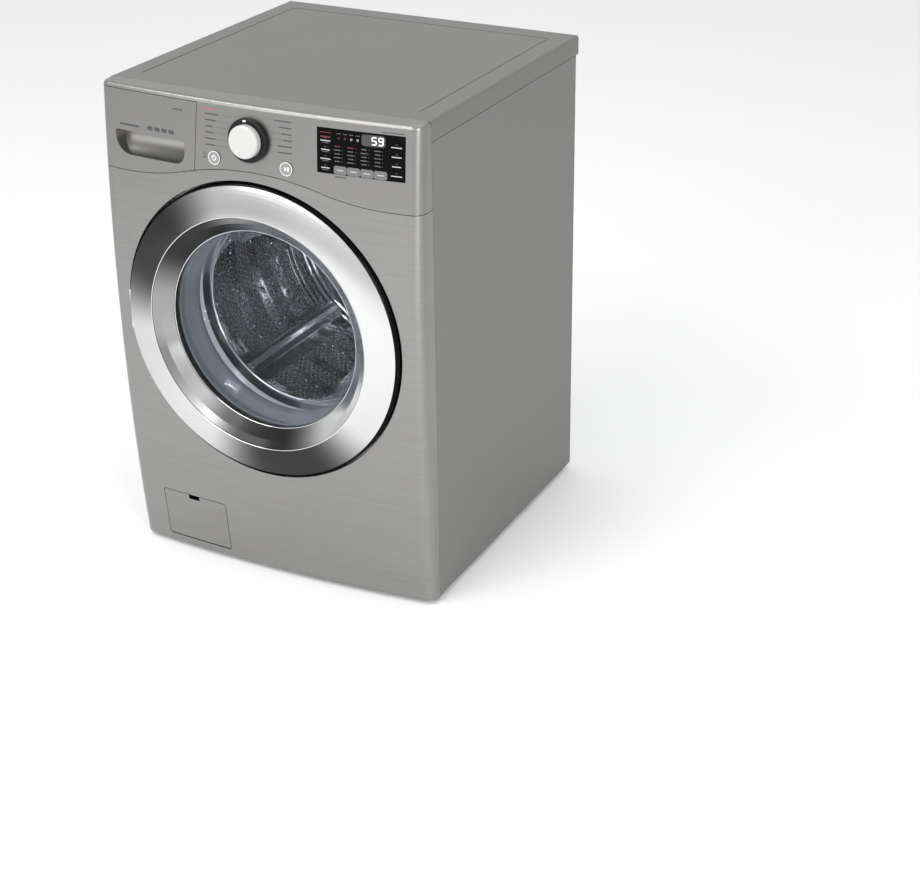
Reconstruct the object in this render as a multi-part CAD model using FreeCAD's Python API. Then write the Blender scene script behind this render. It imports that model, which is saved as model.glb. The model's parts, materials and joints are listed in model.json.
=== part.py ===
"""Front load washing machine, 27 inch class, as an assembly of separate sub-parts.

Frame: millimetres, +Z up, front faces -Y, +X to the right seen from the front.
The origin is on the floor, below the middle of the overall box.
"""
import FreeCAD, Part
import math
import os

V = FreeCAD.Vector

# Overall size
WIDTH = 686.0
HEIGHT = 983.0
DEPTH = 768.0
HALF_W = WIDTH / 2
REAR_Y = DEPTH / 2
SHEET = 1.2
GAP = 1.2

# Cabinet
TOP_FRONT_Y = -300.0
TOP_BACK_Y = 355.0
BODY_BACK_Y = 338.0
FLOOR_GAP = 12.0
SKIRT_Z = 945.0
TOP_SHEET = 1.5
TOP_EDGE_R = 6.0

# Bowed front: y = -(FRONT_BASE + BOW_X (1 - (x/HALF_W)^2) + BOW_Z (1 - ((z - BOW_Z0)/BOW_H)^2))
FRONT_BASE = 327.8
BOW_X = 19.5
BOW_Z = 22.6
BOW_Z0 = 555.7
BOW_H = 480.0
FRONT_BOTTOM_Z = 10.0
CORNER_R = 24.0
LIP_R = 9.0
LIP_Z = 974.0
FASCIA_T = 3.0

# Seam between the fascia and the front panel: level at both ends, arched over the door
SEAM_Z = 820.0
SEAM_RISE = 38.7
SEAM_HALF = 290.0
DRAWER_SEAM_TOP_X = -114.0
DRAWER_SEAM_SLOPE = 0.0769

# Door, drum and tub share one level axis
AXIS_Z = 538.3
RECESS_R = 302.4
RECESS_Y = -335.0
MOUTH_R = 213.0
MOUTH_BACK_Y = -312.0
RIM_R = 298.5
RIM_T = 4.2
RING_R = 293.6
RING_Y = -366.5
RIDGE_R = 236.5
RIDGE_Y = -378.0
GLASS_R = 202.2
GLASS_Y = -349.0
RING_T = 2.0
DOOR_BACK_Y = -338.0
HINGE_X = -293.5
HINGE_Y = -360.0
PIN_R = 2.0
KNUCKLE_R = 4.0
HOOK_X = 255.0
HOOK_Y = -346.0

TUB_R = 300.0
TUB_WALL = 5.0
TUB_FRONT_Y = -236.0
TUB_SPLIT_Y = -60.0
TUB_BACK_Y = 235.0
TUB_LIP_R = 220.0
DRUM_R = 280.0
DRUM_T = 1.0
DRUM_FRONT_Y = -218.0
DRUM_BACK_Y = 212.0
DRUM_MOUTH_R = 196.0
SHAFT_R = 15.0
HUB_END_Y = 262.0

# Suspension
SPRING_X = 305.0
SPRING_Y = (-150.0, 110.0)
SPRING_R = 15.0
SPRING_LOW_Z = 716.0
SPRING_HIGH_Z = 846.0
DAMPER_X = 140.0
DAMPER_Y = (-110.0, 110.0)
DAMPER_RAIL_Z = 62.0
ROD_R = 6.0
PISTON_R = 14.0

# Controls
KNOB_Z = 919.5
SKIRT_R = 41.5
CAP_R = 31.0
CAP_OUT = 25.2
BUTTON_X = 77.0
BUTTON_Z = 876.0
BUTTON_R = 13.2
DISPLAY = (140.0, 312.0, 879.0, 961.5)
BOARD_Y = -326.0

# Dispenser drawer
GRIP = (-307.0, -145.0, 851.0, 897.0)
DRAWER = (-318.0, -138.0, -296.0, -30.0, 866.0, 934.0)
HOUSING_T = 2.5

# Drain filter and its flap
FLAP = (-272.0, -118.0, 27.5, 134.5)
FILTER_X = -195.0
FILTER_Z = 80.0
FILTER_R = 33.0
FLAP_PIVOT_Z = 33.0
FLAP_PIVOT_SETBACK = 5.2

# Hoses between the tub and the cabinet
SUMP_X = -70.0
SUMP_Y = -190.0
FILL_X = -190.0
FILL_Y = -31.0
FILL_R = 19.0

# Feet
FOOT_X = 295.0
FOOT_Y = (-262.0, 300.0)
FOOT_R = 22.0
STEM_R = 5.0

# Water inlets
INLET_X = (-255.0, -200.0)
INLET_Z = 905.0
INLET_R = 13.1
INLET_THREAD = 20.0

# Drain outlet
OUTLET_R = 14.6
OUTLET_LENGTH = 30.0


# ---------------------------------------------------------------- helpers

def box(x0, x1, y0, y1, z0, z1):
    """Box between two corners."""
    return Part.makeBox(x1 - x0, y1 - y0, z1 - z0, V(x0, y0, z0))


def cylinder(radius, start, end):
    """Round bar of one radius between two points."""
    run = V(*end) - V(*start)
    return Part.makeCylinder(radius, run.Length, V(*start), run)


def tube(outer, inner, start, end):
    """Round tube between two points."""
    return cylinder(outer, start, end).cut(cylinder(inner, start, end))


def disc(radius, y0, y1, x=0.0, z=AXIS_Z):
    """Disc whose axis runs along Y."""
    return cylinder(radius, (x, y0, z), (x, y1, z))


def ring(outer, inner, y0, y1, x=0.0, z=AXIS_Z):
    """Flat ring or tube whose axis runs along Y."""
    return disc(outer, y0, y1, x, z).cut(disc(inner, y0 - 1, y1 + 1, x, z))


def lathe(profile, x=0.0, z=AXIS_Z):
    """Turns a closed (radius, y) outline about a level axis along Y."""
    points = [V(x + r, y, z) for r, y in profile]
    wire = Part.makePolygon(points + [points[0]])
    return Part.Face(wire).revolve(V(x, 0, z), V(0, 1, 0), 360)


def band(path, thickness):
    """Outline of even thickness about an open (radius, y) path."""
    half = thickness / 2
    left, right = [], []
    for i, (r, y) in enumerate(path):
        before = path[max(i - 1, 0)]
        after = path[min(i + 1, len(path) - 1)]
        normals = []
        for a, b in ((before, (r, y)), ((r, y), after)):
            length = math.hypot(b[0] - a[0], b[1] - a[1])
            if length > 0:
                normals.append((-(b[1] - a[1]) / length, (b[0] - a[0]) / length))
        nr = sum(n[0] for n in normals) / len(normals)
        ny = sum(n[1] for n in normals) / len(normals)
        scale = half / (nr * nr + ny * ny)
        left.append((r + nr * scale, y + ny * scale))
        right.append((r - nr * scale, y - ny * scale))
    return left + right[::-1]


def rounded_outline(x0, x1, z0, z1, radii):
    """Closed wire in the XZ plane; radii go round from the lower left corner, anticlockwise."""
    corners = [(x0, z0, 1, 0), (x1, z0, 0, 1), (x1, z1, -1, 0), (x0, z1, 0, -1)]
    edges = []
    ends = []
    for (x, z, ox, oz), radius in zip(corners, radii):
        ix, iz = -oz, ox
        start = V(x + ix * radius, 0, z + iz * radius)
        end = V(x + ox * radius, 0, z + oz * radius)
        bulge = radius * (1 - math.sqrt(0.5))
        middle = V(x + (ix + ox) * bulge, 0, z + (iz + oz) * bulge)
        ends.append((start, middle, end))
    for i, (start, middle, end) in enumerate(ends):
        if start.distanceToPoint(end) > 0.01:
            edges.append(Part.Arc(start, middle, end).toShape())
        following = ends[(i + 1) % 4][0]
        edges.append(Part.LineSegment(end, following).toShape())
    return Part.Wire(edges)


def prism_y(wire, y0, y1):
    """Solid between two depths on a closed outline in the XZ plane."""
    face = Part.Face(wire)
    face.translate(V(0, y0, 0))
    return face.extrude(V(0, y1 - y0, 0))


def rounded_block(x0, x1, z0, z1, radius, y0, y1):
    """Block with four equal rounded corners, seen from the front."""
    return prism_y(rounded_outline(x0, x1, z0, z1, [radius] * 4), y0, y1)


def hose(points, radius, wall, bends):
    """Round hose along straight runs joined by tangent arcs; bends holds one radius per inner point."""
    nodes = [V(*p) for p in points]
    edges = []
    here = nodes[0]
    for i in range(1, len(nodes) - 1):
        back = (nodes[i - 1] - nodes[i]).normalize()
        ahead = (nodes[i + 1] - nodes[i]).normalize()
        half_turn = (math.pi - back.getAngle(ahead)) / 2
        reach = bends[i - 1] * math.tan(half_turn)
        start = nodes[i] + back * reach
        end = nodes[i] + ahead * reach
        towards = (back + ahead).normalize()
        middle = nodes[i] + towards * (bends[i - 1] / math.cos(half_turn) - bends[i - 1])
        edges.append(Part.LineSegment(here, start).toShape())
        edges.append(Part.Arc(start, middle, end).toShape())
        here = end
    edges.append(Part.LineSegment(here, nodes[-1]).toShape())
    spine = Part.Wire(edges)
    first = (nodes[1] - nodes[0]).normalize()
    solids = []
    for r in (radius, radius - wall):
        circle = Part.Wire([Part.Circle(nodes[0], first, r).toShape()])
        solids.append(spine.makePipeShell([circle], True, False))
    return solids[0].cut(solids[1])


def both_sides(shape):
    """The shape and its mirror image in the middle plane, as two solids."""
    return [shape, shape.mirror(V(0, 0, 0), V(1, 0, 0))]


def joined(first, *others):
    """One solid from pieces that share material."""
    return first.multiFuse(list(others)).removeSplitter()


def save(name, *shapes):
    """Writes one node; separate identical pieces stay separate solids."""
    shape = shapes[0] if len(shapes) == 1 else Part.makeCompound(list(shapes))
    shape.exportStep("parts/" + name + ".step")


# ---------------------------------------------------------------- bowed front

def front_y(x, z):
    """Depth of the bowed front surface."""
    across = BOW_X * (1 - (x / HALF_W) ** 2)
    upright = BOW_Z * (1 - ((z - BOW_Z0) / BOW_H) ** 2)
    return -(FRONT_BASE + across + upright)


def front_normal(x, z):
    """Outward direction of the bowed front surface."""
    return V(2 * BOW_X * x / HALF_W ** 2, -1, 2 * BOW_Z * (z - BOW_Z0) / BOW_H ** 2).normalize()


def bow_solid(inset, z0, z1, back_y):
    """Solid behind the bowed front, set in by an even amount and cut flat at the back."""
    half = HALF_W - inset
    xs = (-half, 0.0, half)
    zs = (z0, (z0 + z1) / 2, z1)

    def pole(values, f):
        low, mid, high = (f(v) for v in values)
        return (low, 2 * mid - (low + high) / 2, high)

    ys_x = pole(xs, lambda x: front_y(x, BOW_Z0))
    ys_z = pole(zs, lambda z: front_y(0, z) - front_y(0, BOW_Z0))
    surface = Part.BezierSurface()
    surface.increase(2, 2)
    for i, x in enumerate(xs):
        for j, z in enumerate(zs):
            surface.setPole(i + 1, j + 1, V(x, ys_x[i] + ys_z[j] + inset, z))
    block = surface.toShape().extrude(V(0, 200, 0))
    return block.common(box(-half, half, -500, back_y, z0, z1))


def rounded_bow(inset, z0, z1, back_y):
    """The bowed solid with rounded upright corners and a rounded top edge."""
    solid = bow_solid(inset, z0, z1, back_y)
    front = min(solid.Faces, key=lambda f: f.CenterOfMass.y)
    upright = [e for e in front.Edges if e.BoundBox.ZLength > 500]
    solid = solid.makeFillet(CORNER_R - inset, upright)
    edges = [e for e in solid.Edges
             if abs(e.BoundBox.ZMax - z1) < 0.01 and e.BoundBox.ZLength < 0.5
             and e.BoundBox.YMin < back_y - 1 and abs(e.CenterOfMass.x) < HALF_W - 4]
    return solid.makeFillet(max(LIP_R - inset, 1.0), edges)


def front_shell(thickness, bottom=FRONT_BOTTOM_Z):
    """Thin skin over the whole bowed front, its corners and its top lip."""
    outer = rounded_bow(0.0, bottom, HEIGHT, TOP_FRONT_Y - 0.5)
    inner = rounded_bow(thickness, bottom + thickness, HEIGHT - thickness, TOP_FRONT_Y + 60)
    return outer.cut(inner)


def seam_edges(offset):
    """The arched seam, moved up or down by an offset."""
    radius = ((SEAM_HALF / 2) ** 2 + (SEAM_RISE / 2) ** 2) / SEAM_RISE
    quarter = SEAM_HALF / 4
    sag = radius - math.sqrt(radius ** 2 - quarter ** 2)
    low, high = SEAM_Z + offset, SEAM_Z + SEAM_RISE + offset
    half = (low + high) / 2

    def p(x, z):
        return V(x, 0, z)

    return [
        Part.LineSegment(p(-400, low), p(-SEAM_HALF, low)).toShape(),
        Part.Arc(p(-SEAM_HALF, low), p(-3 * quarter, low + sag), p(-2 * quarter, half)).toShape(),
        Part.Arc(p(-2 * quarter, half), p(0, high), p(2 * quarter, half)).toShape(),
        Part.Arc(p(2 * quarter, half), p(3 * quarter, low + sag), p(SEAM_HALF, low)).toShape(),
        Part.LineSegment(p(SEAM_HALF, low), p(400, low)).toShape(),
    ]


def region_below_seam():
    """Everything under the arched seam, seen from the front."""
    low = SEAM_Z - GAP / 2
    corners = [V(400, 0, low), V(400, 0, -50), V(-400, 0, -50), V(-400, 0, low)]
    edges = seam_edges(-GAP / 2)
    for a, b in zip(corners, corners[1:]):
        edges.append(Part.LineSegment(a, b).toShape())
    return prism_y(Part.Wire(edges), -500, 0)


def region_above_seam():
    """Everything over the arched seam, seen from the front."""
    low = SEAM_Z + GAP / 2
    corners = [V(400, 0, low), V(400, 0, 1100), V(-400, 0, 1100), V(-400, 0, low)]
    edges = seam_edges(GAP / 2)
    for a, b in zip(corners, corners[1:]):
        edges.append(Part.LineSegment(a, b).toShape())
    return prism_y(Part.Wire(edges), -500, 0)


def drawer_region(grow):
    """Area of the drawer front, grown or shrunk at its upper and right edges."""
    top = LIP_Z + grow
    right_top = DRAWER_SEAM_TOP_X + grow
    right_low = right_top - DRAWER_SEAM_SLOPE * (top - 780)
    points = [V(-400, 0, 780), V(right_low, 0, 780), V(right_top, 0, top), V(-400, 0, top)]
    return prism_y(Part.makePolygon(points + [points[0]]), -500, 0)


# ---------------------------------------------------------------- cabinet

def base_frame():
    """Pressed base with an open middle, damper rails and four foot plates."""
    half = HALF_W - SHEET - 0.2
    y0, y1 = TOP_FRONT_Y + 2, BODY_BACK_Y - SHEET - 0.2
    z0, z1 = FLOOR_GAP, 62.0
    frame = box(-half, half, y0, y1, z0, z1)
    frame = frame.cut(box(-half + 1.5, half - 1.5, y0 + 1.5, y1 - 1.5, z0 + 1.5, z1))
    frame = frame.cut(box(-half + 70, half - 70, y0 + 70, y1 - 70, z0 - 1, z0 + 3))
    for y in DAMPER_Y:
        frame = frame.fuse(box(-half + 1, half - 1, y - 20, y + 20, z0 + 1, DAMPER_RAIL_Z - 12))
        frame = frame.cut(box(-half + 1.5, half - 1.5, y - 18, y + 18, z0, DAMPER_RAIL_Z - 14))
    for x in (-FOOT_X, FOOT_X):
        for y in FOOT_Y:
            frame = frame.fuse(box(x - 26, x + 26, y - 26, y + 26, z0, z0 + 4))
    frame = frame.cut(box(FILTER_X - 42, FILTER_X + 42, y0 - 1, y0 + 30, 36, z1 + 1))
    for x in (-FOOT_X, FOOT_X):
        for y in FOOT_Y:
            frame = frame.cut(cylinder(STEM_R + 0.05, (x, y, 0), (x, y, 30)))
    save("base_frame", frame.removeSplitter())


def side_panels():
    """Two painted side panels with folded front and rear flanges."""
    fold = 22.0
    outer = box(-HALF_W, -HALF_W + fold, TOP_FRONT_Y + 0.2, BODY_BACK_Y, FLOOR_GAP, SKIRT_Z - 1)
    hollow = box(-HALF_W + SHEET, -HALF_W + fold + 1, TOP_FRONT_Y + 0.2 + SHEET,
                 BODY_BACK_Y - SHEET, FLOOR_GAP - 1, SKIRT_Z)
    panel = outer.cut(hollow)
    for name, shape in zip(("side_panel_left", "side_panel_right"), both_sides(panel)):
        save(name, shape)


def rear_panel():
    """Rear sheet with a service opening and holes for the water, drain, power and transit fittings."""
    y1 = BODY_BACK_Y - SHEET - 0.2
    panel = box(-HALF_W + 6, HALF_W - 6, y1 - SHEET, y1, 63, SKIRT_Z - 1)
    panel = panel.cut(rounded_block(-205, 205, 310, 720, 60, y1 - 5, y1 + 5))
    for x in INLET_X:
        panel = panel.cut(disc(INLET_R + 3, y1 - 5, y1 + 5, x, INLET_Z))
    for x, z in transit_places():
        panel = panel.cut(disc(14.0, y1 - 5, y1 + 5, x, z))
    panel = panel.cut(box(215, 265, y1 - 5, y1 + 5, 880, 920))
    panel = panel.cut(disc(16.5, y1 - 5, y1 + 5, -270, 160))
    save("rear_panel", panel)


def transit_places():
    """Centres of the four transit bolt holes in the rear panel."""
    return [(x, z) for x in (-250.0, 250.0) for z in (360.0, 700.0)]


def rear_cover():
    """Pressed cover over the service opening."""
    y1 = BODY_BACK_Y - SHEET - 0.2
    cover = rounded_block(-222, 222, 293, 737, 66, y1 + 0.1, y1 + 0.1 + SHEET)
    dome = rounded_block(-160, 160, 355, 675, 90, y1 + 0.1, y1 + 7)
    hollow = rounded_block(-158.8, 158.8, 356.2, 673.8, 88.8, y1 - 1, y1 + 5.8)
    cover = joined(cover, dome).cut(hollow)
    save("rear_cover", cover)


def top_panel():
    """Worktop: a folded steel lid with a shallow pressed border and a skirt."""
    lid = box(-HALF_W, HALF_W, TOP_FRONT_Y, TOP_BACK_Y, SKIRT_Z, HEIGHT)
    rounded = [e for e in lid.Edges if abs(e.BoundBox.ZMin - HEIGHT) < 0.01 or
               (e.BoundBox.ZLength > 20 and e.CenterOfMass.y > 0)]
    rounded = [e for e in rounded if not (e.CenterOfMass.y < TOP_FRONT_Y + 1)]
    lid = lid.makeFillet(TOP_EDGE_R, rounded)
    inner = box(-HALF_W + TOP_SHEET, HALF_W - TOP_SHEET, TOP_FRONT_Y + TOP_SHEET,
                TOP_BACK_Y - TOP_SHEET, SKIRT_Z - 1, HEIGHT - TOP_SHEET - 1.5)
    lid = lid.cut(inner)
    groove = box(-301, 301, TOP_FRONT_Y + 45, TOP_BACK_Y - 52, HEIGHT - 0.8, HEIGHT + 1)
    island = box(-296, 296, TOP_FRONT_Y + 45, TOP_BACK_Y - 57, HEIGHT - 1, HEIGHT + 1)
    edges = [e for e in groove.Edges if e.BoundBox.ZLength > 1 and e.CenterOfMass.y > 0]
    groove = groove.makeFillet(14, edges)
    edges = [e for e in island.Edges if e.BoundBox.ZLength > 1 and e.CenterOfMass.y > 0]
    island = island.makeFillet(10, edges)
    save("top_panel", lid.cut(groove.cut(island)))


def cabinet_braces():
    """Front cross rail and the two upper rails that the springs hang from."""
    rail = box(-HALF_W + 3, HALF_W - 3, TOP_FRONT_Y + 3, TOP_FRONT_Y + 27, 838, 858)
    rail = rail.cut(box(-HALF_W, HALF_W, TOP_FRONT_Y + 4.5, TOP_FRONT_Y + 30, 839.5, 856.5))
    hanger = box(-HALF_W + SHEET + 0.2, -HALF_W + 60, -200, 160, SPRING_HIGH_Z, SPRING_HIGH_Z + 2.5)
    web = box(-HALF_W + SHEET + 0.2, -HALF_W + SHEET + 2.7, -200, 160, SPRING_HIGH_Z - 30, SPRING_HIGH_Z)
    save("cabinet_braces", rail, *both_sides(joined(hanger, web)))


def front_panel():
    """Bowed steel front with the round door recess, the mouth flange and the filter opening."""
    outer = rounded_bow(0.0, FRONT_BOTTOM_Z, HEIGHT, TOP_FRONT_Y - 0.5)
    skin = front_shell(SHEET).common(region_below_seam())
    skin = skin.cut(disc(RECESS_R + SHEET, -500, 0))
    wall = ring(RECESS_R + SHEET, RECESS_R, -500, RECESS_Y).common(outer)
    floor = ring(RECESS_R + SHEET, MOUTH_R, RECESS_Y, RECESS_Y + SHEET)
    flange = ring(MOUTH_R + SHEET, MOUTH_R, RECESS_Y, MOUTH_BACK_Y)
    panel = joined(skin, wall, floor, flange)
    x0, x1, z0, z1 = FLAP
    hole = rounded_block(x0 - GAP, x1 + GAP, z0 - 2 * GAP, z1 + GAP, 6, -500, 0)
    panel = panel.cut(hole)
    panel = panel.cut(box(HOOK_X - 9, HOOK_X + 15, RECESS_Y - 1, RECESS_Y + 3, AXIS_Z - 10, AXIS_Z + 10))
    behind = bow_solid(SHEET / 2, FRONT_BOTTOM_Z, HEIGHT, TOP_FRONT_Y)
    for x in (x0 - 8, x1 + 3):
        pivot_y = flap_pivot(x + 2.5)[1]
        ear = box(x, x + 5, pivot_y - 20, pivot_y + 4, FLAP_PIVOT_Z - 5, FLAP_PIVOT_Z + 5).common(behind)
        ear = ear.cut(cylinder(1.56, flap_pivot(x - 1), flap_pivot(x + 6)))
        panel = panel.fuse(ear)
    save("front_panel", panel)


def hinge_bracket():
    """Fixed half of the door hinge: plate on the recess, two arms and the pin."""
    plate = box(-290, -264, RECESS_Y - 2.5, RECESS_Y - 0.05, AXIS_Z - 42, AXIS_Z + 42)
    solid = plate
    for side in (-1, 1):
        z0 = AXIS_Z + (14 if side > 0 else -40)
        arm = box(HINGE_X - KNUCKLE_R, HINGE_X + KNUCKLE_R, HINGE_Y, RECESS_Y - 0.05, z0, z0 + 26)
        knuckle = cylinder(KNUCKLE_R, (HINGE_X, HINGE_Y, z0), (HINGE_X, HINGE_Y, z0 + 26))
        solid = solid.fuse(arm).fuse(knuckle)
    pin = cylinder(PIN_R, (HINGE_X, HINGE_Y, AXIS_Z - 41), (HINGE_X, HINGE_Y, AXIS_Z + 41))
    save("hinge_bracket", joined(solid, pin))


def door_lock():
    """Lock housing behind the recess, open towards the hook."""
    body = box(HOOK_X - 22, HOOK_X + 32, RECESS_Y + SHEET + 0.2, -300, AXIS_Z - 36, AXIS_Z + 36)
    body = body.cut(box(HOOK_X - 11, HOOK_X + 17, RECESS_Y, -308, AXIS_Z - 12, AXIS_Z + 12))
    save("door_lock", body)


def feet():
    """Four levelling feet: a moulded pad on a threaded stem."""
    names = ("foot_front_left", "foot_rear_left", "foot_front_right", "foot_rear_right")
    places = [(x, y) for x in (-FOOT_X, FOOT_X) for y in FOOT_Y]
    for name, (x, y) in zip(names, places):
        pad = Part.makeCone(FOOT_R, FOOT_R - 4, 7, V(x, y, 0))
        stem = cylinder(STEM_R, (x, y, 5), (x, y, 46))
        save(name, joined(pad, stem))


def cabinet_fasteners():
    """Foot lock nuts, rear panel screws and cover screws."""
    pieces = []
    for x in (-FOOT_X, FOOT_X):
        for y in FOOT_Y:
            points = [V(x + 9 * math.cos(math.radians(a)), y + 9 * math.sin(math.radians(a)), 16.1)
                      for a in range(0, 361, 60)]
            nut = Part.Face(Part.makePolygon(points)).extrude(V(0, 0, 7))
            pieces.append(nut.cut(cylinder(STEM_R + 0.05, (x, y, 0), (x, y, 40))))
    face_y = BODY_BACK_Y
    for x in (-HALF_W + 12, HALF_W - 12):
        for z in (110, 320, 530, 740, 920):
            pieces.append(disc(5.0, face_y + 0.05, face_y + 3, x, z))
    cover_y = BODY_BACK_Y - 0.05
    for x, z in ((-210, 515), (210, 515), (0, 305), (0, 725), (-188, 330), (188, 330), (-188, 700), (188, 700)):
        pieces.append(disc(5.0, cover_y, cover_y + 3, x, z))
    save("cabinet_fasteners", *pieces)


# ---------------------------------------------------------------- controls

def control_panel():
    """Fascia with the top lip, openings for the knob, keys and display."""
    area = region_above_seam().cut(drawer_region(GAP))
    fascia = front_shell(FASCIA_T).common(area)
    x0, x1, z0, z1 = DISPLAY
    fascia = fascia.cut(rounded_block(x0 - 0.3, x1 + 0.3, z0 - 0.3, z1 + 0.3, 1.5, -500, 0))
    fascia = fascia.cut(panel_pin(0, KNOB_Z, 8.0, 20, 20))
    for x in (-BUTTON_X, BUTTON_X):
        fascia = fascia.cut(panel_pin(x, BUTTON_Z, BUTTON_R + 0.3, 20, 20))
    save("control_panel", fascia)


def panel_pin(x, z, radius, out, back):
    """Round bar square to the bowed front; out and back are measured from the surface."""
    normal = front_normal(x, z)
    centre = V(x, front_y(x, z), z)
    start = centre + normal * out
    return Part.makeCylinder(radius, back + out, start, normal * -1)


def knob():
    """Programme knob: a black skirt with a pointer and a pale domed cap."""
    skirt = joined(panel_pin(0, KNOB_Z, SKIRT_R, 11.0, -0.8), panel_pin(0, KNOB_Z, 6.5, 11.0, 14.0))
    edge = [e for e in skirt.Edges if abs(e.BoundBox.XMax - SKIRT_R) < 0.1 and e.CenterOfMass.y < -348]
    front = min(edge, key=lambda e: e.CenterOfMass.y)
    skirt = skirt.makeFillet(4.0, [front])
    skirt = skirt.cut(panel_pin(0, KNOB_Z, 3.05, 6.0, 30.0))
    cap = panel_pin(0, KNOB_Z, CAP_R, CAP_OUT, -11.1)
    front = min(cap.Edges, key=lambda e: e.CenterOfMass.y)
    cap = cap.makeFillet(5.0, [front])
    save("knob_skirt", skirt)
    save("knob_cap", cap)


def buttons():
    """Two round push keys with a collar that keeps them in the fascia."""
    for name, x in (("power_button", -BUTTON_X), ("start_button", BUTTON_X)):
        key = panel_pin(x, BUTTON_Z, BUTTON_R, 2.2, 6.0)
        collar = panel_pin(x, BUTTON_Z, BUTTON_R + 2.0, -3.4, 6.0)
        stem = panel_pin(x, BUTTON_Z, 3.0, 0, 25.0)
        save(name, joined(key, collar, stem))


def display_window():
    """Gloss black touch window that follows the bow of the fascia."""
    x0, x1, z0, z1 = DISPLAY
    window = front_shell(FASCIA_T).common(rounded_block(x0, x1, z0, z1, 1.2, -500, 0))
    window.translate(V(0, -0.4, 0))
    save("display_window", window)


def control_board():
    """Circuit board with the display module, the knob encoder and two key switches."""
    board = box(-100, 322, BOARD_Y, BOARD_Y + 1.6, 866, 966)
    module = box(DISPLAY[0] + 6, DISPLAY[1] - 6, BOARD_Y - 6, BOARD_Y, DISPLAY[2] + 5, DISPLAY[3] - 5)
    encoder = box(-9, 9, BOARD_Y - 6, BOARD_Y, KNOB_Z - 9, KNOB_Z + 9)
    shaft = panel_pin(0, KNOB_Z, 3.0, 5.0, 28.0)
    solid = joined(board, module, encoder, shaft)
    for x in (-BUTTON_X, BUTTON_X):
        solid = solid.fuse(box(x - 5, x + 5, BOARD_Y - 5, BOARD_Y, BUTTON_Z - 5, BUTTON_Z + 5))
    save("control_board", solid.removeSplitter())


# ---------------------------------------------------------------- dispenser

def grip_outline(grow):
    """Outline of the drawer grip: square upper corners, round lower ones."""
    x0, x1, z0, z1 = GRIP
    return rounded_outline(x0 - grow, x1 + grow, z0 - grow, z1 + grow, [36 + grow, 22 + grow, 2 + grow, 4 + grow])


def drawer_front():
    """Drawer front with its scooped finger grip."""
    area = region_above_seam().common(drawer_region(0.0))
    skin = front_shell(FASCIA_T).common(area)
    x0, x1, z0, z1 = GRIP
    centre_y = front_y((x0 + x1) / 2, z1) - 9
    scoop = cylinder(46, (x0 - 20, centre_y, z1 - 4), (x1 + 20, centre_y, z1 - 4))
    shell = cylinder(48.5, (x0 - 20, centre_y, z1 - 4), (x1 + 20, centre_y, z1 - 4))
    behind = bow_solid(0.5, FRONT_BOTTOM_Z, HEIGHT, TOP_FRONT_Y + 40)
    pocket = prism_y(grip_outline(2.5), -500, 0).common(shell).common(behind)
    void = prism_y(grip_outline(0.0), -500, 0).common(scoop)
    front = joined(skin, pocket).cut(void)
    save("drawer_front", front)


def dispenser_drawer():
    """Drawer tray with main wash, prewash, softener and bleach compartments."""
    x0, x1, y0, y1, z0, z1 = DRAWER
    tray = box(x0, x1, y0, y1, z0, z1)
    rooms = [
        (x0 + 2.5, -232, y0 + 12, y1 - 3),
        (-229.5, x1 - 2.5, y0 + 12, -200),
        (-229.5, -185, -197.5, y1 - 3),
        (-182.5, x1 - 2.5, -197.5, y1 - 3),
    ]
    for a, b, c, d in rooms:
        tray = tray.cut(box(a, b, c, d, z0 + 3, z1 + 1))
    inside = bow_solid(FASCIA_T + 0.05, FRONT_BOTTOM_Z, HEIGHT, TOP_FRONT_Y + 40)
    arms = [box(a, a + 8, -360, y0 + 2, z0 + 40, z1 - 3).common(inside) for a in (x0 + 4, x1 - 12)]
    save("dispenser_drawer", joined(tray, *arms))


def siphon_caps():
    """Two lift-out siphon caps over the softener and bleach compartments."""
    z1 = DRAWER[5]
    y1 = DRAWER[3]
    pieces = []
    for a, b in ((-229.2, -185.3), (-182.2, DRAWER[1] - 2.8)):
        lid = box(a, b, -140, y1 - 3.3, z1 - 8, z1 - 5)
        stem = tube(6, 3, ((a + b) / 2, -90, z1 - 50), ((a + b) / 2, -90, z1 - 8))
        pieces.append(joined(lid, stem))
    save("siphon_caps", *pieces)


def dispenser_housing():
    """Open-fronted box that the drawer runs in, with its outlet spigot."""
    x0, x1, y0, y1, z0, z1 = DRAWER
    t = HOUSING_T
    gap = 1.5
    outer = box(x0 - gap - t, x1 + gap + t, -270, y1 + 18, z0 - gap - t - 4, z1 + gap + t)
    inner = box(x0 - gap, x1 + gap, -271, y1 + 18 - t, z0 - gap - 4, z1 + gap)
    rails = [box(x0 - gap - 0.5, x0 + 14, -270, y1 + 10, z0 - gap - 4, z0 - 0.4),
             box(x1 - 14, x1 + gap + 0.5, -270, y1 + 10, z0 - gap - 4, z0 - 0.4)]
    body = outer.cut(inner)
    for rail in rails:
        body = body.fuse(rail)
    spigot = cylinder(FILL_R, (FILL_X, FILL_Y, z0 - 30), (FILL_X, FILL_Y, z0 - gap - 5))
    bore = cylinder(FILL_R - 3, (FILL_X, FILL_Y, z0 - 31), (FILL_X, FILL_Y, z0 - gap - 3))
    save("dispenser_housing", joined(body, spigot).cut(bore))


def fill_hose():
    """Straight rubber sleeve from the dispenser down to the tub."""
    low = fill_spigot_z() - 14
    save("fill_hose", tube(FILL_R + 3.2, FILL_R + 0.1, (FILL_X, FILL_Y, low), (FILL_X, FILL_Y, DRAWER[4] - 20)))


def fill_spigot_z():
    """Top of the tub's fill spigot."""
    return AXIS_Z + math.sqrt(TUB_R ** 2 - FILL_X ** 2) + 36


# ---------------------------------------------------------------- door

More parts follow.
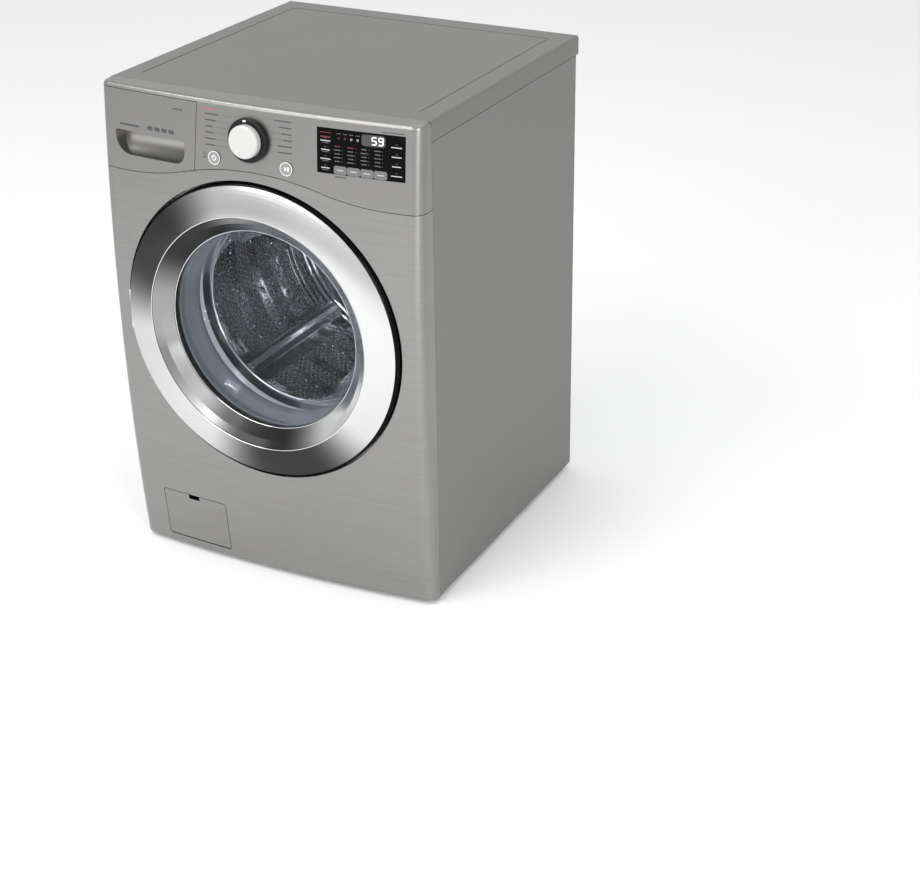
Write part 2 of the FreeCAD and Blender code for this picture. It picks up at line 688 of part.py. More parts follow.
def door_ring():
    """Bright outer ring, gently domed from its edge up to the ridge."""
    count = 8
    front = []
    for i in range(count + 1):
        t = i / count
        r = RING_R + (RIDGE_R - RING_R) * t
        y = RING_Y + (RIDGE_Y - RING_Y) * t - 1.6 * 4 * t * (1 - t)
        front.append((r, y))
    back = [(r, y + RING_T) for r, y in reversed(front)]
    save("door_ring", lathe(front + back))


def door_bezel():
    """Inner conical ring between the ridge and the glass."""
    path = [(RIDGE_R - 2.0, RIDGE_Y + 1.4), (222.0, -367.5), (GLASS_R + 1.0, GLASS_Y - 1.2)]
    lip = [(RIDGE_R - 2.0, RIDGE_Y + 1.4), (RIDGE_R - 2.0, -352)]
    cone = lathe(band(path, 2.2))
    wall = lathe(band(lip, 2.0))
    save("door_bezel", joined(cone, wall))


def hinge_notch():
    """Space that the door leaves for the hinge."""
    return box(-320, -262, -364.3, -320, AXIS_Z - 44, AXIS_Z + 44)


def door_rim():
    """Black outer rim of the door with a finger hollow on the right."""
    profile = [
        (RIM_R - RIM_T, DOOR_BACK_Y), (RIM_R, DOOR_BACK_Y), (RIM_R, -357.5),
        (RIM_R - 2.5, -362.5), (RIM_R - RIM_T, -364.2),
    ]
    rim = lathe(profile).cut(hinge_notch())
    grip = box(288, 305, -352, -330, AXIS_Z - 55, AXIS_Z + 55)
    save("door_rim", rim.cut(grip))


def door_frame():
    """Rear frame of the door: annular plate, ribs and the hook lugs."""
    plate = ring(RIM_R - RIM_T, 206, DOOR_BACK_Y - 3, DOOR_BACK_Y)
    wall = ring(224, 221, GLASS_Y + 1, DOOR_BACK_Y - 1)
    hoop = ring(285, 282, -360, DOOR_BACK_Y - 1)
    frame = joined(plate, wall, hoop).cut(hinge_notch())
    frame = frame.cut(box(262, 310, -352, -330, AXIS_Z - 55, AXIS_Z + 55))
    hand = box(262, 290, -356, -353, AXIS_Z - 56, AXIS_Z + 56)
    frame = frame.fuse(hand.common(ring(290, 200, -357, -352)))
    frame = frame.cut(box(HOOK_X - 7, HOOK_X + 7.2, -360, -330, AXIS_Z - 7, AXIS_Z + 7))
    for side in (-1, 1):
        z = AXIS_Z + side * 9.5
        lug = box(HOOK_X - 6, HOOK_X + 6, HOOK_Y - 5, DOOR_BACK_Y - 1, z - 2, z + 2)
        bore = cylinder(2.05, (HOOK_X, HOOK_Y, z - 3), (HOOK_X, HOOK_Y, z + 3))
        frame = frame.fuse(lug).cut(bore)
    save("door_frame", frame)


def door_glass():
    """Deep glass bowl with a clamped flange."""
    profile = [
        (219, -346.5), (200, -346.5), (197, -344), (172, -268), (160, -256), (120, -250.5), (0, -247),
        (0, -242), (122, -245.5), (163, -251.5), (177, -265), (200.5, -340), (204, -341.8), (219, -341.8),
    ]
    save("door_glass", lathe(profile))


def door_hinge_arm():
    """Moving half of the hinge, screwed to the door frame."""
    knuckle = cylinder(KNUCKLE_R, (HINGE_X, HINGE_Y, AXIS_Z - 13.5), (HINGE_X, HINGE_Y, AXIS_Z + 13.5))
    neck = box(HINGE_X, -278, HINGE_Y - 3.5, HINGE_Y + 3.5, AXIS_Z - 13.5, AXIS_Z + 13.5)
    drop = box(-284, -278, HINGE_Y, -344, AXIS_Z - 13.5, AXIS_Z + 13.5)
    plate = box(-284, -232, -345, -341.2, AXIS_Z - 36, AXIS_Z + 36)
    arm = joined(knuckle, neck, drop, plate)
    bore = cylinder(PIN_R + 0.05, (HINGE_X, HINGE_Y, AXIS_Z - 20), (HINGE_X, HINGE_Y, AXIS_Z + 20))
    save("door_hinge_arm", arm.cut(bore))


def door_hook():
    """Latch hook on its cross pin."""
    z0, z1 = AXIS_Z - 5, AXIS_Z + 5
    shank = box(HOOK_X - 4, HOOK_X + 4, HOOK_Y - 4, -313, z0, z1)
    nose = box(HOOK_X + 2, HOOK_X + 10, -321, -313, z0, z1)
    pin = cylinder(2.0, (HOOK_X, HOOK_Y, AXIS_Z - 11.5), (HOOK_X, HOOK_Y, AXIS_Z + 11.5))
    save("door_hook", joined(shank, nose, pin))


# ---------------------------------------------------------------- tub and seal

def bellows():
    """Rubber door seal: grips the mouth flange, folds once and slips over the tub lip."""
    clip = lathe(band([(217.2, -327), (217.2, -308.5), (209.5, -308.5), (209.5, -328), (201.5, -331)], 3.0))
    fold = lathe(band([(213.5, -309.5), (213.5, -297), (199, -288), (197.5, -272),
                       (208, -262), (222.2, -262), (222.2, -240)], 3.4))
    save("bellows", joined(clip, fold))


def bellows_clamps():
    """Wire clamp that holds the seal to the tub lip."""
    save("bellows_clamps", ring(226.2, 224.1, -250, -243))


def tub_ears(spring_y, damper_y):
    """Spring and damper ears on one tub half."""
    hollow = disc(TUB_R - 2, -300, 300)
    ears = []
    for side in (-1, 1):
        xs = sorted((side * 236, side * (SPRING_X + 14)))
        ears.append(box(xs[0], xs[1], spring_y - 12, spring_y + 12, SPRING_LOW_Z - 26, SPRING_LOW_Z - 4).cut(hollow))
        xs = sorted((side * (DAMPER_X - 14), side * (DAMPER_X + 14)))
        ears.append(box(xs[0], xs[1], damper_y - 14, damper_y + 14, 252, 290).cut(hollow))
    return ears


def tub_front():
    """Front half of the outer tub with the lip for the seal and the sump outlet."""
    lip = ring(TUB_LIP_R, TUB_LIP_R - 4, -252, TUB_FRONT_Y + 1)
    plate = ring(TUB_R, TUB_LIP_R - 4, TUB_FRONT_Y, TUB_FRONT_Y + 5)
    wall = ring(TUB_R, TUB_R - TUB_WALL, TUB_FRONT_Y, TUB_SPLIT_Y)
    flange = ring(TUB_R + 11, TUB_R - TUB_WALL, TUB_SPLIT_Y - 6, TUB_SPLIT_Y)
    spigot = cylinder(17, (SUMP_X, SUMP_Y, 226), (SUMP_X, SUMP_Y, 262)).cut(disc(TUB_R - 2, -300, 300))
    front = joined(lip, plate, wall, flange, spigot, *tub_ears(SPRING_Y[0], DAMPER_Y[0]))
    save("tub_front", front.cut(cylinder(14, (SUMP_X, SUMP_Y, 220), (SUMP_X, SUMP_Y, 280))))


def tub_rear():
    """Rear half of the outer tub with the bearing hub, ribs and the fill spigot."""
    y0 = TUB_SPLIT_Y + 0.2
    wall = ring(TUB_R, TUB_R - TUB_WALL, y0, TUB_BACK_Y)
    flange = ring(TUB_R + 11, TUB_R - TUB_WALL, y0, y0 + 6)
    plate = ring(TUB_R, 40, TUB_BACK_Y, TUB_BACK_Y + 5)
    hub = ring(55, 31.05, 224, HUB_END_Y)
    web = ring(56, 26.05, 242.1, 250)
    rim = ring(TUB_R, TUB_R - TUB_WALL, TUB_BACK_Y, TUB_BACK_Y + 14)
    pieces = [flange, plate, hub, web, rim]
    for i in range(12):
        rib = box(50, TUB_R - 2, TUB_BACK_Y + 2, TUB_BACK_Y + 14, AXIS_Z - 2, AXIS_Z + 2)
        pieces.append(rib.rotate(V(0, 0, AXIS_Z), V(0, 1, 0), 30 * i + 15))
    pieces += tub_ears(SPRING_Y[1], DAMPER_Y[1])
    top = fill_spigot_z()
    spigot = cylinder(FILL_R, (FILL_X, FILL_Y, top - 60), (FILL_X, FILL_Y, top))
    pieces.append(spigot.cut(disc(TUB_R - 2, -300, 300)))
    rear = joined(wall, *pieces)
    rear = rear.cut(cylinder(FILL_R - 3, (FILL_X, FILL_Y, top - 62), (FILL_X, FILL_Y, top + 1)))
    for x in (-40, 40):
        rear = rear.cut(disc(6.1, 230, 260, x, heater_z()))
    save("tub_rear", rear)


def counterweights():
    """Two cast blocks bolted to the tub front, above and below the mouth."""
    block = ring(TUB_R - 2, 240, TUB_FRONT_Y - 34, TUB_FRONT_Y - 0.3)
    upper = block.common(box(-265, 265, -400, 0, AXIS_Z + 70, AXIS_Z + 400))
    lower = block.common(box(-265, 265, -400, 0, AXIS_Z - 400, AXIS_Z - 90))
    save("counterweights", upper, lower)


def heater_z():
    """Height of the heater's two straight legs."""
    return AXIS_Z - math.sqrt(289.5 ** 2 - 40 ** 2)


def heater():
    """U-shaped heating rod with its terminal plate on the back of the tub."""
    z = heater_z()
    legs = [disc(4, 60, 250, x, z) for x in (-40, 40)]
    bend = Part.makeTorus(40, 4, V(0, 60, z), V(0, 0, 1)).common(box(-60, 60, 0, 60, z - 5, z + 5))
    plate = box(-46, 46, TUB_BACK_Y + 5.1, TUB_BACK_Y + 8, z - 4, z + 12)
    save("heater", joined(legs[0], legs[1], bend, plate))


# ---------------------------------------------------------------- drum and drive

def drum():
    """Drum shell, front ring, back disc, spider with shaft, and three lifters."""
    save("drum_shell", ring(DRUM_R, DRUM_R - DRUM_T, DRUM_FRONT_Y, DRUM_BACK_Y))
    front = [(DRUM_R - 6, -215), (DRUM_R - 16, -217.5), (DRUM_MOUTH_R + 6, -217.5),
             (DRUM_MOUTH_R + 1, -222), (DRUM_MOUTH_R + 1, -227)]
    save("drum_front", lathe(band(front, 1.2)))
    back = [(DRUM_R - 1.7, 200), (DRUM_R - 1.7, 211), (150, 211), (130, 205), (60, 205), (50, 211), (16, 211)]
    save("drum_back", lathe(band(back, 1.2)))
    hub = disc(40, 213, 223)
    shaft = joined(disc(SHAFT_R, 220, 250), disc(SHAFT_R - 2.5, 250, 306))
    arms = [box(0, 270, 213, 222, AXIS_Z - 22, AXIS_Z + 22).rotate(V(0, 0, AXIS_Z), V(0, 1, 0), 120 * i + 30)
            for i in range(3)]
    save("drum_spider", joined(hub, shaft, *arms))
    lifters = []
    base = DRUM_R - DRUM_T - 0.2
    outline = [V(-38, -180, base - 3.0), V(-20, -180, base - 34), V(-8, -180, base - 52), V(8, -180, base - 52),
               V(20, -180, base - 34), V(38, -180, base - 3.0)]
    for i in range(3):
        face = Part.Face(Part.makePolygon(outline + [outline[0]]))
        blade = face.extrude(V(0, 368, 0))
        blade.translate(V(0, 0, AXIS_Z))
        lifters.append(blade.rotate(V(0, 0, AXIS_Z), V(0, 1, 0), 120 * i - 19))
    save("drum_lifters", *lifters)


def bearings():
    """Front and rear shaft bearings with their seal."""
    front = ring(31, SHAFT_R + 0.04, 226, 242)
    rear = ring(31, SHAFT_R - 2.5 + 0.04, 250.1, 261.5)
    save("bearings", front, rear)


def motor():
    """Direct drive: stator bolted to the tub, rotor cup on the shaft."""
    plate = ring(72, 34, HUB_END_Y + 0.1, HUB_END_Y + 8)
    core = ring(96, 70, HUB_END_Y + 0.1, 286)
    teeth = [box(94, 120, HUB_END_Y + 2, 284, AXIS_Z - 6, AXIS_Z + 6).rotate(V(0, 0, AXIS_Z), V(0, 1, 0), 15 * i)
             for i in range(24)]
    save("stator", joined(plate, core, *teeth))
    cup = joined(ring(134, 124, HUB_END_Y + 4, 299), ring(134, SHAFT_R - 2.5, 296, 299), ring(30, SHAFT_R - 2.5, 290, 299))
    slots = [box(60, 105, 290, 305, AXIS_Z - 5, AXIS_Z + 5).rotate(V(0, 0, AXIS_Z), V(0, 1, 0), 30 * i)
             for i in range(12)]
    for slot in slots:
        cup = cup.cut(slot)
    nut = ring(16, SHAFT_R - 2.5, 299.1, 305)
    save("rotor", cup, nut)


def suspension():
    """Four springs from the upper rails, four friction dampers on the base rails."""
    springs = []
    cylinders = []
    rods = []
    for side in (-1, 1):
        for y in SPRING_Y:
            x = side * SPRING_X
            coil = tube(SPRING_R, SPRING_R - 3.5, (x, y, SPRING_LOW_Z + 14), (x, y, SPRING_HIGH_Z - 14))
            low = cylinder(2.0, (x, y, SPRING_LOW_Z - 3.8), (x, y, SPRING_LOW_Z + 14))
            high = cylinder(2.0, (x, y, SPRING_HIGH_Z - 14), (x, y, SPRING_HIGH_Z - 0.1))
            caps = [cylinder(SPRING_R, (x, y, z), (x, y, z + 2)) for z in (SPRING_LOW_Z + 12.5, SPRING_HIGH_Z - 14.5)]
            springs.append(joined(coil, low, high, *caps))
        for y in DAMPER_Y:
            x = side * DAMPER_X
            z0 = DAMPER_RAIL_Z - 12 + 0.1
            body = cylinder(18, (x, y, z0), (x, y, 196))
            body = body.cut(cylinder(PISTON_R + 0.08, (x, y, z0 + 8), (x, y, 186)))
            cylinders.append(body.cut(cylinder(ROD_R + 0.08, (x, y, 180), (x, y, 200))))
            rod = cylinder(ROD_R, (x, y, 112), (x, y, 251.9))
            rods.append(joined(rod, cylinder(PISTON_R, (x, y, 108), (x, y, 120))))
    save("suspension_springs", *springs)
    save("damper_cylinders", *cylinders)
    save("damper_rods", *rods)


# ---------------------------------------------------------------- water

def flap_pivot(x):
    """Point of the filter flap's pivot line, which runs along the chord of the flap's bow."""
    left, right = (front_y(edge, FLAP_PIVOT_Z) for edge in FLAP[:2])
    chord_y = left + (right - left) * (x - FLAP[0]) / (FLAP[1] - FLAP[0])
    return (x, chord_y + FLAP_PIVOT_SETBACK, FLAP_PIVOT_Z)


def filter_door():
    """Flap over the drain filter with a finger notch and its pivot pins."""
    x0, x1, z0, z1 = FLAP
    flap = front_shell(2.4, FRONT_BOTTOM_Z - 8).common(rounded_block(x0, x1, z0, z1, 5, -500, -300))
    flap = flap.cut(box(-209, -183, -500, 0, z1 - 9, z1 + 1))
    for a, b in ((x0 + 10, x0 + 34), (x1 - 34, x1 - 10)):
        barrel = cylinder(2.4, flap_pivot(a), flap_pivot(b))
        pivot_y = flap_pivot((a + b) / 2)[1]
        lug = box(a + 1, b - 1, pivot_y - 20, pivot_y, FLAP_PIVOT_Z - 2, FLAP_PIVOT_Z + 2)
        lug = lug.common(bow_solid(0.3, FRONT_BOTTOM_Z, HEIGHT, TOP_FRONT_Y))
        flap = flap.fuse(barrel).fuse(lug)
    for a, b in ((x0 - 7.5, x0 + 12), (x1 - 12, x1 + 7.5)):
        flap = flap.fuse(cylinder(1.5, flap_pivot(a), flap_pivot(b)))
    save("filter_door", flap.removeSplitter())


def drain_pump():
    """Filter housing, pump chamber and motor in one bolted unit."""
    x, z = FILTER_X, FILTER_Z
    body = joined(ring(FILTER_R, FILTER_R - 3, -303, -204, x, z), disc(38, -206, -178, x, z),
                  disc(27, -180, -138, x, z))
    body = body.fuse(box(x - 26, x + 26, -250, -190, 46, z - 20))
    body = body.fuse(cylinder(15, (x + 20, -187, z), (x + 20, -187, z + 62)))
    body = body.fuse(cylinder(17, (x, -238, z), (x, -238, z + 58)))
    body = body.cut(disc(FILTER_R - 3, -310, -206, x, z))
    body = body.cut(disc(26, -207, -182, x, z))
    body = body.cut(disc(2.06, -184, -150, x, z))
    body = body.cut(cylinder(12, (x + 20, -187, z), (x + 20, -187, z + 63)))
    body = body.cut(cylinder(14, (x, -238, z), (x, -238, z + 59)))
    save("drain_pump", body.removeSplitter())
    blades = [box(x, x + 21, -200, -186, z - 1.5, z + 1.5).rotate(V(x, 0, z), V(0, 1, 0), 60 * i) for i in range(6)]
    save("pump_impeller", joined(disc(22, -187, -184, x, z), disc(2.0, -187, -155, x, z), disc(6, -200, -186, x, z), *blades))
    plug = disc(FILTER_R - 3.06, -303.2, -284, x, z)
    face = disc(FILTER_R + 2, -306, -303.1, x, z)
    handle = box(x - 26, x + 26, -320, -305, z - 5, z + 5)
    strainer = ring(25, 23, -284.5, -222, x, z)
    for i in range(6):
        slot = box(x, x + 30, -276, -230, z - 6, z + 6).rotate(V(x, 0, z), V(0, 1, 0), 60 * i)
        strainer = strainer.cut(slot)
    save("filter_cap", joined(plug, face, handle, strainer))


def water_hoses():
    """Sump hose from the tub to the filter, and drain hose from the pump to the rear outlet."""
    x, z = FILTER_X, FILTER_Z
    sump = [(SUMP_X, SUMP_Y, 240), (SUMP_X, SUMP_Y, 200), (x, -238, 176), (x, -238, 124)]
    save("sump_hose", hose(sump, 20.2, 3.1, (28.0, 28.0)))
    drain = [(x + 20, -187, 128), (x + 20, -187, 190), (-314, -187, 190), (-314, 260, 190), (-270, 300, 160),
             (-270, 334, 160)]
    save("drain_hose", hose(drain, 18.0, 2.9, (26.0, 40.0, 40.0, 26.0, 18.0)))
    inlets = []
    for i, ix in enumerate(INLET_X):
        points = [(ix, 268, INLET_Z), (ix, 200, INLET_Z), (ix, 60, INLET_Z - 6), (ix, -11.9, INLET_Z - 6)]
        inlets.append(hose(points, 9.0, 2.0, (60.0, 60.0)))
    save("inlet_hoses", *inlets)


def inlet_valves():
    """Hot and cold inlet valves with threaded connectors through the rear panel."""
    pieces = []
    for x in INLET_X:
        body = box(x - 18, x + 18, 290, BODY_BACK_Y - 4, INLET_Z - 18, INLET_Z + 18)
        neck = disc(INLET_R, BODY_BACK_Y - 5, REAR_Y, x, INLET_Z)
        flange = disc(INLET_R + 2.8, BODY_BACK_Y - 5, REAR_Y - INLET_THREAD, x, INLET_Z)
        coil = cylinder(13, (x, 305, INLET_Z), (x, 305, INLET_Z + 32))
        spigot = disc(6.9, 262, 292, x, INLET_Z)
        valve = joined(body, neck, flange, coil, spigot)
        pieces.append(valve.cut(disc(9.0, REAR_Y - 18, REAR_Y + 1, x, INLET_Z)))
    save("inlet_valves", *pieces)


def rear_fittings():
    """Power inlet gland, drain outlet spigot and the four transit hole covers."""
    gland = box(217, 263, BODY_BACK_Y - 8, BODY_BACK_Y + 6, 882, 918)
    outlet = joined(
        disc(15.0, 322, BODY_BACK_Y, -270, 160),
        disc(22, BODY_BACK_Y - 1.3, BODY_BACK_Y + 2, -270, 160),
        disc(17.0, BODY_BACK_Y, REAR_Y - 4 - OUTLET_LENGTH, -270, 160),
        disc(OUTLET_R, BODY_BACK_Y, REAR_Y - 4, -270, 160),
    )
    outlet = outlet.cut(disc(12.0, 320, REAR_Y, -270, 160))
    covers = []
    for x, z in transit_places():
        covers.append(joined(disc(20, BODY_BACK_Y - 1.3, BODY_BACK_Y + 2, x, z),
                             disc(13.6, BODY_BACK_Y - 12, BODY_BACK_Y, x, z)))
    save("rear_fittings", gland, outlet, *covers)


def main():
    os.makedirs("parts", exist_ok=True)
    base_frame()
    side_panels()
    rear_panel()
    rear_cover()
    top_panel()
    cabinet_braces()
    front_panel()
    hinge_bracket()
    door_lock()
    feet()
    cabinet_fasteners()
    control_panel()
    knob()
    buttons()
    display_window()
    control_board()
    drawer_front()
    dispenser_drawer()
    siphon_caps()
    dispenser_housing()
    fill_hose()
    door_ring()
    door_bezel()
    door_rim()
    door_frame()
    door_glass()
    door_hinge_arm()
    door_hook()
    bellows()
    bellows_clamps()
    tub_front()
    tub_rear()
    counterweights()
    heater()
    drum()
    bearings()
    motor()
    suspension()
    filter_door()
    drain_pump()
    water_hoses()
    inlet_valves()
    rear_fittings()


main()
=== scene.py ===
"""Looks of a front load washing machine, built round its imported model. Lengths are metres."""

import json
import logging
import math
from dataclasses import dataclass
from enum import Enum
from typing import Any

import bmesh
import bpy
from mathutils import Matrix, Vector
from mathutils.bvhtree import BVHTree


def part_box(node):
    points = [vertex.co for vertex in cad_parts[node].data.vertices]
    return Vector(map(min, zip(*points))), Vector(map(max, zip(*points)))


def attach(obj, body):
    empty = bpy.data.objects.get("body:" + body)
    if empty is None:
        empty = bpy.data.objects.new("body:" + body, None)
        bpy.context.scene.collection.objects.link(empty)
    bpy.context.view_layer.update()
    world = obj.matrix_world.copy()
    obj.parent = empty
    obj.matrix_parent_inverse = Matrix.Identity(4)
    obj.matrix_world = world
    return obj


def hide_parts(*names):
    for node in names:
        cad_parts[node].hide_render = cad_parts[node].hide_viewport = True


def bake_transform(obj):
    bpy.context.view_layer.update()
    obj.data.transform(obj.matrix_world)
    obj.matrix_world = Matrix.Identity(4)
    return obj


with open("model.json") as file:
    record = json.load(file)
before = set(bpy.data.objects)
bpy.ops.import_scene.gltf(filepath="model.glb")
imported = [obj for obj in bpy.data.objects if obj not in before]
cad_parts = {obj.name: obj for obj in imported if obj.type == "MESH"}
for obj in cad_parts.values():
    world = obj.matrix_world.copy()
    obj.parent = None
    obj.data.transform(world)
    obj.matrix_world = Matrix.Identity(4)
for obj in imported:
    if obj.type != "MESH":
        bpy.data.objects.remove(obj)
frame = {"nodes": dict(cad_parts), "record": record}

LOG = logging.getLogger("washer")
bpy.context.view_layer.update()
SPRING_REACH = 0.015
SMOOTH_ANGLE = math.radians(35)
COIL_STEPS = 20

# Dark reflections painted into the door's chrome colour: the angle round the door in degrees, and how deep the
# painted dark tone is.
RING_PAINTED_REFLECTIONS = ((146.0, 0.94), (283.0, 0.95), (184.0, 0.12), (100.0, 0.16))
CONE_PAINTED_REFLECTIONS = ((130.0, 0.96), (268.0, 0.97), (188.0, 0.55))

RGB = tuple[float, float, float]


class Signal:
    """One output of a material's node tree, with arithmetic that adds Math nodes."""

    def __init__(self, graph: "Graph", socket: bpy.types.NodeSocket) -> None:
        """Keeps the tree and the socket."""
        self.graph = graph
        self.socket = socket

    def maths(self, operation: str, other: Any = 0.0, swap: bool = False) -> "Signal":
        """Adds one Math node.

        Args:
            operation: The node's operation.
            other: The second value, a number or a Signal.
            swap: Puts the other value first.

        Returns:
            The node's output.
        """
        first, second = (other, self) if swap else (self, other)
        made = self.graph.node("ShaderNodeMath", {"operation": operation}, {0: first, 1: second})
        return Signal(self.graph, made.outputs[0])

    def __add__(self, other: Any) -> "Signal":
        """Sum."""
        return self.maths("ADD", other)

    def __radd__(self, other: Any) -> "Signal":
        """Sum, the number first."""
        return self.maths("ADD", other)

    def __sub__(self, other: Any) -> "Signal":
        """Difference."""
        return self.maths("SUBTRACT", other)

    def __rsub__(self, other: Any) -> "Signal":
        """Difference, the number first."""
        return self.maths("SUBTRACT", other, swap=True)

    def __mul__(self, other: Any) -> "Signal":
        """Product."""
        return self.maths("MULTIPLY", other)

    def __rmul__(self, other: Any) -> "Signal":
        """Product, the number first."""
        return self.maths("MULTIPLY", other)

    def __truediv__(self, other: Any) -> "Signal":
        """Quotient."""
        return self.maths("DIVIDE", other)

    def root(self) -> "Signal":
        """Square root."""
        return self.maths("SQRT")

    def floor(self) -> "Signal":
        """The whole number below."""
        return self.maths("FLOOR")

    def fraction(self) -> "Signal":
        """What is left above the whole number below."""
        return self.maths("FRACT")

    def step(self, low: float, high: float) -> "Signal":
        """Smooth rise from 0 at low to 1 at high.

        Args:
            low: Where the rise starts.
            high: Where it ends.

        Returns:
            The risen signal.
        """
        sockets = {"Value": self, "From Min": low, "From Max": high}
        made = self.graph.node("ShaderNodeMapRange", {"interpolation_type": "SMOOTHSTEP"}, sockets)
        return Signal(self.graph, made.outputs[0])


class Graph:
    """A material's node tree round its Principled shader."""

    def __init__(self, name: str) -> None:
        """Makes an empty material of this name."""
        self.material = bpy.data.materials.new(name)
        self.material.use_nodes = True
        self.tree = self.material.node_tree
        self.surface = self.tree.nodes["Principled BSDF"]

    def node(self, kind: str, settings: dict[str, Any], sockets: dict[Any, Any]) -> bpy.types.Node:
        """Adds a node.

        Args:
            kind: The node's type.
            settings: Its own settings, which are set first.
            sockets: Values or links of its sockets, by name or number.

        Returns:
            The node.
        """
        made = self.tree.nodes.new(kind)
        for key, value in settings.items():
            setattr(made, key, value)
        for key, value in sockets.items():
            self.feed(made.inputs[key], value)
        return made

    def feed(self, socket: bpy.types.NodeSocket, value: Any) -> None:
        """Links a Signal to a socket, or sets the socket's own value."""
        if isinstance(value, Signal):
            self.tree.links.new(value.socket, socket)
        elif isinstance(value, tuple) and len(value) == 3 and socket.type == "RGBA":
            socket.default_value = (*value, 1.0)
        else:
            socket.default_value = value

    def dress(self, **values: Any) -> bpy.types.Material:
        """Sets the Principled shader's sockets.

        Args:
            **values: Socket names with underscores for spaces.

        Returns:
            The material.
        """
        for key, value in values.items():
            self.feed(self.surface.inputs[key.replace("_", " ")], value)
        return self.material

    def place(self) -> Signal:
        """Object coordinates."""
        made = self.node("ShaderNodeTexCoord", {}, {})
        return Signal(self, made.outputs["Object"])

    def axes(self) -> tuple[Signal, Signal, Signal]:
        """Object coordinates as three values."""
        made = self.node("ShaderNodeSeparateXYZ", {}, {0: self.place()})
        return tuple(Signal(self, made.outputs[index]) for index in range(3))

    def packed(self, x: Any, y: Any, z: Any) -> Signal:
        """Three values as one vector."""
        made = self.node("ShaderNodeCombineXYZ", {}, {0: x, 1: y, 2: z})
        return Signal(self, made.outputs[0])

    def stretched(self, scale: RGB) -> Signal:
        """Object coordinates multiplied along each axis."""
        made = self.node("ShaderNodeMapping", {}, {"Vector": self.place(), "Scale": scale})
        return Signal(self, made.outputs[0])

    def noise(self, vector: Signal, scale: float = 1.0, detail: float = 2.0) -> Signal:
        """Noise from 0 to 1.

        Args:
            vector: Where it is read.
            scale: How fine it is.
            detail: How many finer layers it has.

        Returns:
            The noise.
        """
        sockets = {"Vector": vector, "Scale": scale, "Detail": detail}
        made = self.node("ShaderNodeTexNoise", {}, sockets)
        return Signal(self, made.outputs[0])

    def cells(self, vector: Signal, scale: float) -> Signal:
        """A different even shade for every cell of a crystal pattern."""
        made = self.node("ShaderNodeTexVoronoi", {}, {"Vector": vector, "Scale": scale})
        grey = self.node("ShaderNodeSeparateColor", {}, {0: Signal(self, made.outputs["Color"])})
        return Signal(self, grey.outputs[0])

    def blend(self, factor: Any, first: Any, second: Any) -> Signal:
        """Two colours mixed by a factor.

        Args:
            factor: 0 for the first, 1 for the second.
            first: A colour or a Signal.
            second: A colour or a Signal.

        Returns:
            The mixed colour.
        """
        made = self.node("ShaderNodeMix", {"data_type": "RGBA"}, {0: factor, 6: first, 7: second})
        return Signal(self, made.outputs[2])

    def relief(self, height: Signal, depth: float, strength: float = 1.0) -> Signal:
        """A bump.

        Args:
            height: 0 to 1.
            depth: Height of 1, in metres.
            strength: How strongly it shows.

        Returns:
            The normal.
        """
        sockets = {"Height": height, "Distance": depth, "Strength": strength}
        made = self.node("ShaderNodeBump", {}, sockets)
        return Signal(self, made.outputs[0])

    def polar(self, height: float) -> tuple[Signal, Signal, Signal]:
        """Place round the drum's axis.

        Args:
            height: The axis's height above the floor.

        Returns:
            The turn in radians, the distance from the axis, and the place along it.
        """
        x, y, z = self.axes()
        up = z - height
        turn = up.maths("ARCTAN2", x)
        return turn, (x * x + up * up).root(), y


def tinted(color: RGB, amount: float) -> RGB:
    """A colour made lighter or darker by a share."""
    return tuple(min(1.0, part * (1.0 + amount)) for part in color)


class Grain(Enum):
    """How fine a brushed grain is along x, y and z."""

    ACROSS = (5.0, 5.0, 300.0)
    DOWN = (300.0, 300.0, 5.0)


@dataclass(frozen=True)
class Brushed:
    """Brushed sheet metal with fine streaks."""

    name: str
    color: RGB
    grain: Grain = Grain.ACROSS
    roughness: float = 0.34
    metallic: float = 1.0
    contrast: float = 0.06

    def build(self) -> bpy.types.Material:
        """Makes the material."""
        graph = Graph(self.name)
        coarse = graph.noise(graph.stretched(self.grain.value), 1.0, 3.0)
        fine = graph.noise(graph.stretched(tuple(4.1 * part for part in self.grain.value)), 1.0, 2.0)
        streak = coarse * 0.55 + fine * 0.45
        smudge = graph.noise(graph.place(), 3.0, 3.0)
        low, high = tinted(self.color, -self.contrast), tinted(self.color, self.contrast)
        return graph.dress(
            Base_Color=graph.blend(streak.step(0.3, 0.7), low, high),
            Roughness=streak * 0.16 + smudge * 0.06 + (self.roughness - 0.11),
            Metallic=self.metallic,
            Normal=graph.relief(streak, 0.00006, 0.6),
        )


@dataclass(frozen=True)
class Painted:
    """Sprayed or powder coated sheet with faint orange peel."""

    name: str
    color: RGB
    roughness: float = 0.4
    metallic: float = 0.0
    coat: float = 0.0
    peel: float = 0.00005

    def build(self) -> bpy.types.Material:
        """Makes the material."""
        graph = Graph(self.name)
        peel = graph.noise(graph.place(), 420.0, 2.0)
        cloud = graph.noise(graph.place(), 2.2, 3.0)
        flake = graph.noise(graph.place(), 2600.0, 0.0)
        shade = cloud * 0.6 + flake * 0.4
        return graph.dress(
            Base_Color=graph.blend(shade, tinted(self.color, -0.05), tinted(self.color, 0.05)),
            Roughness=cloud * 0.08 + peel * 0.04 + (self.roughness - 0.06),
            Metallic=self.metallic,
            Coat_Weight=self.coat,
            Coat_Roughness=0.12,
            Normal=graph.relief(peel, self.peel, 0.5),
        )


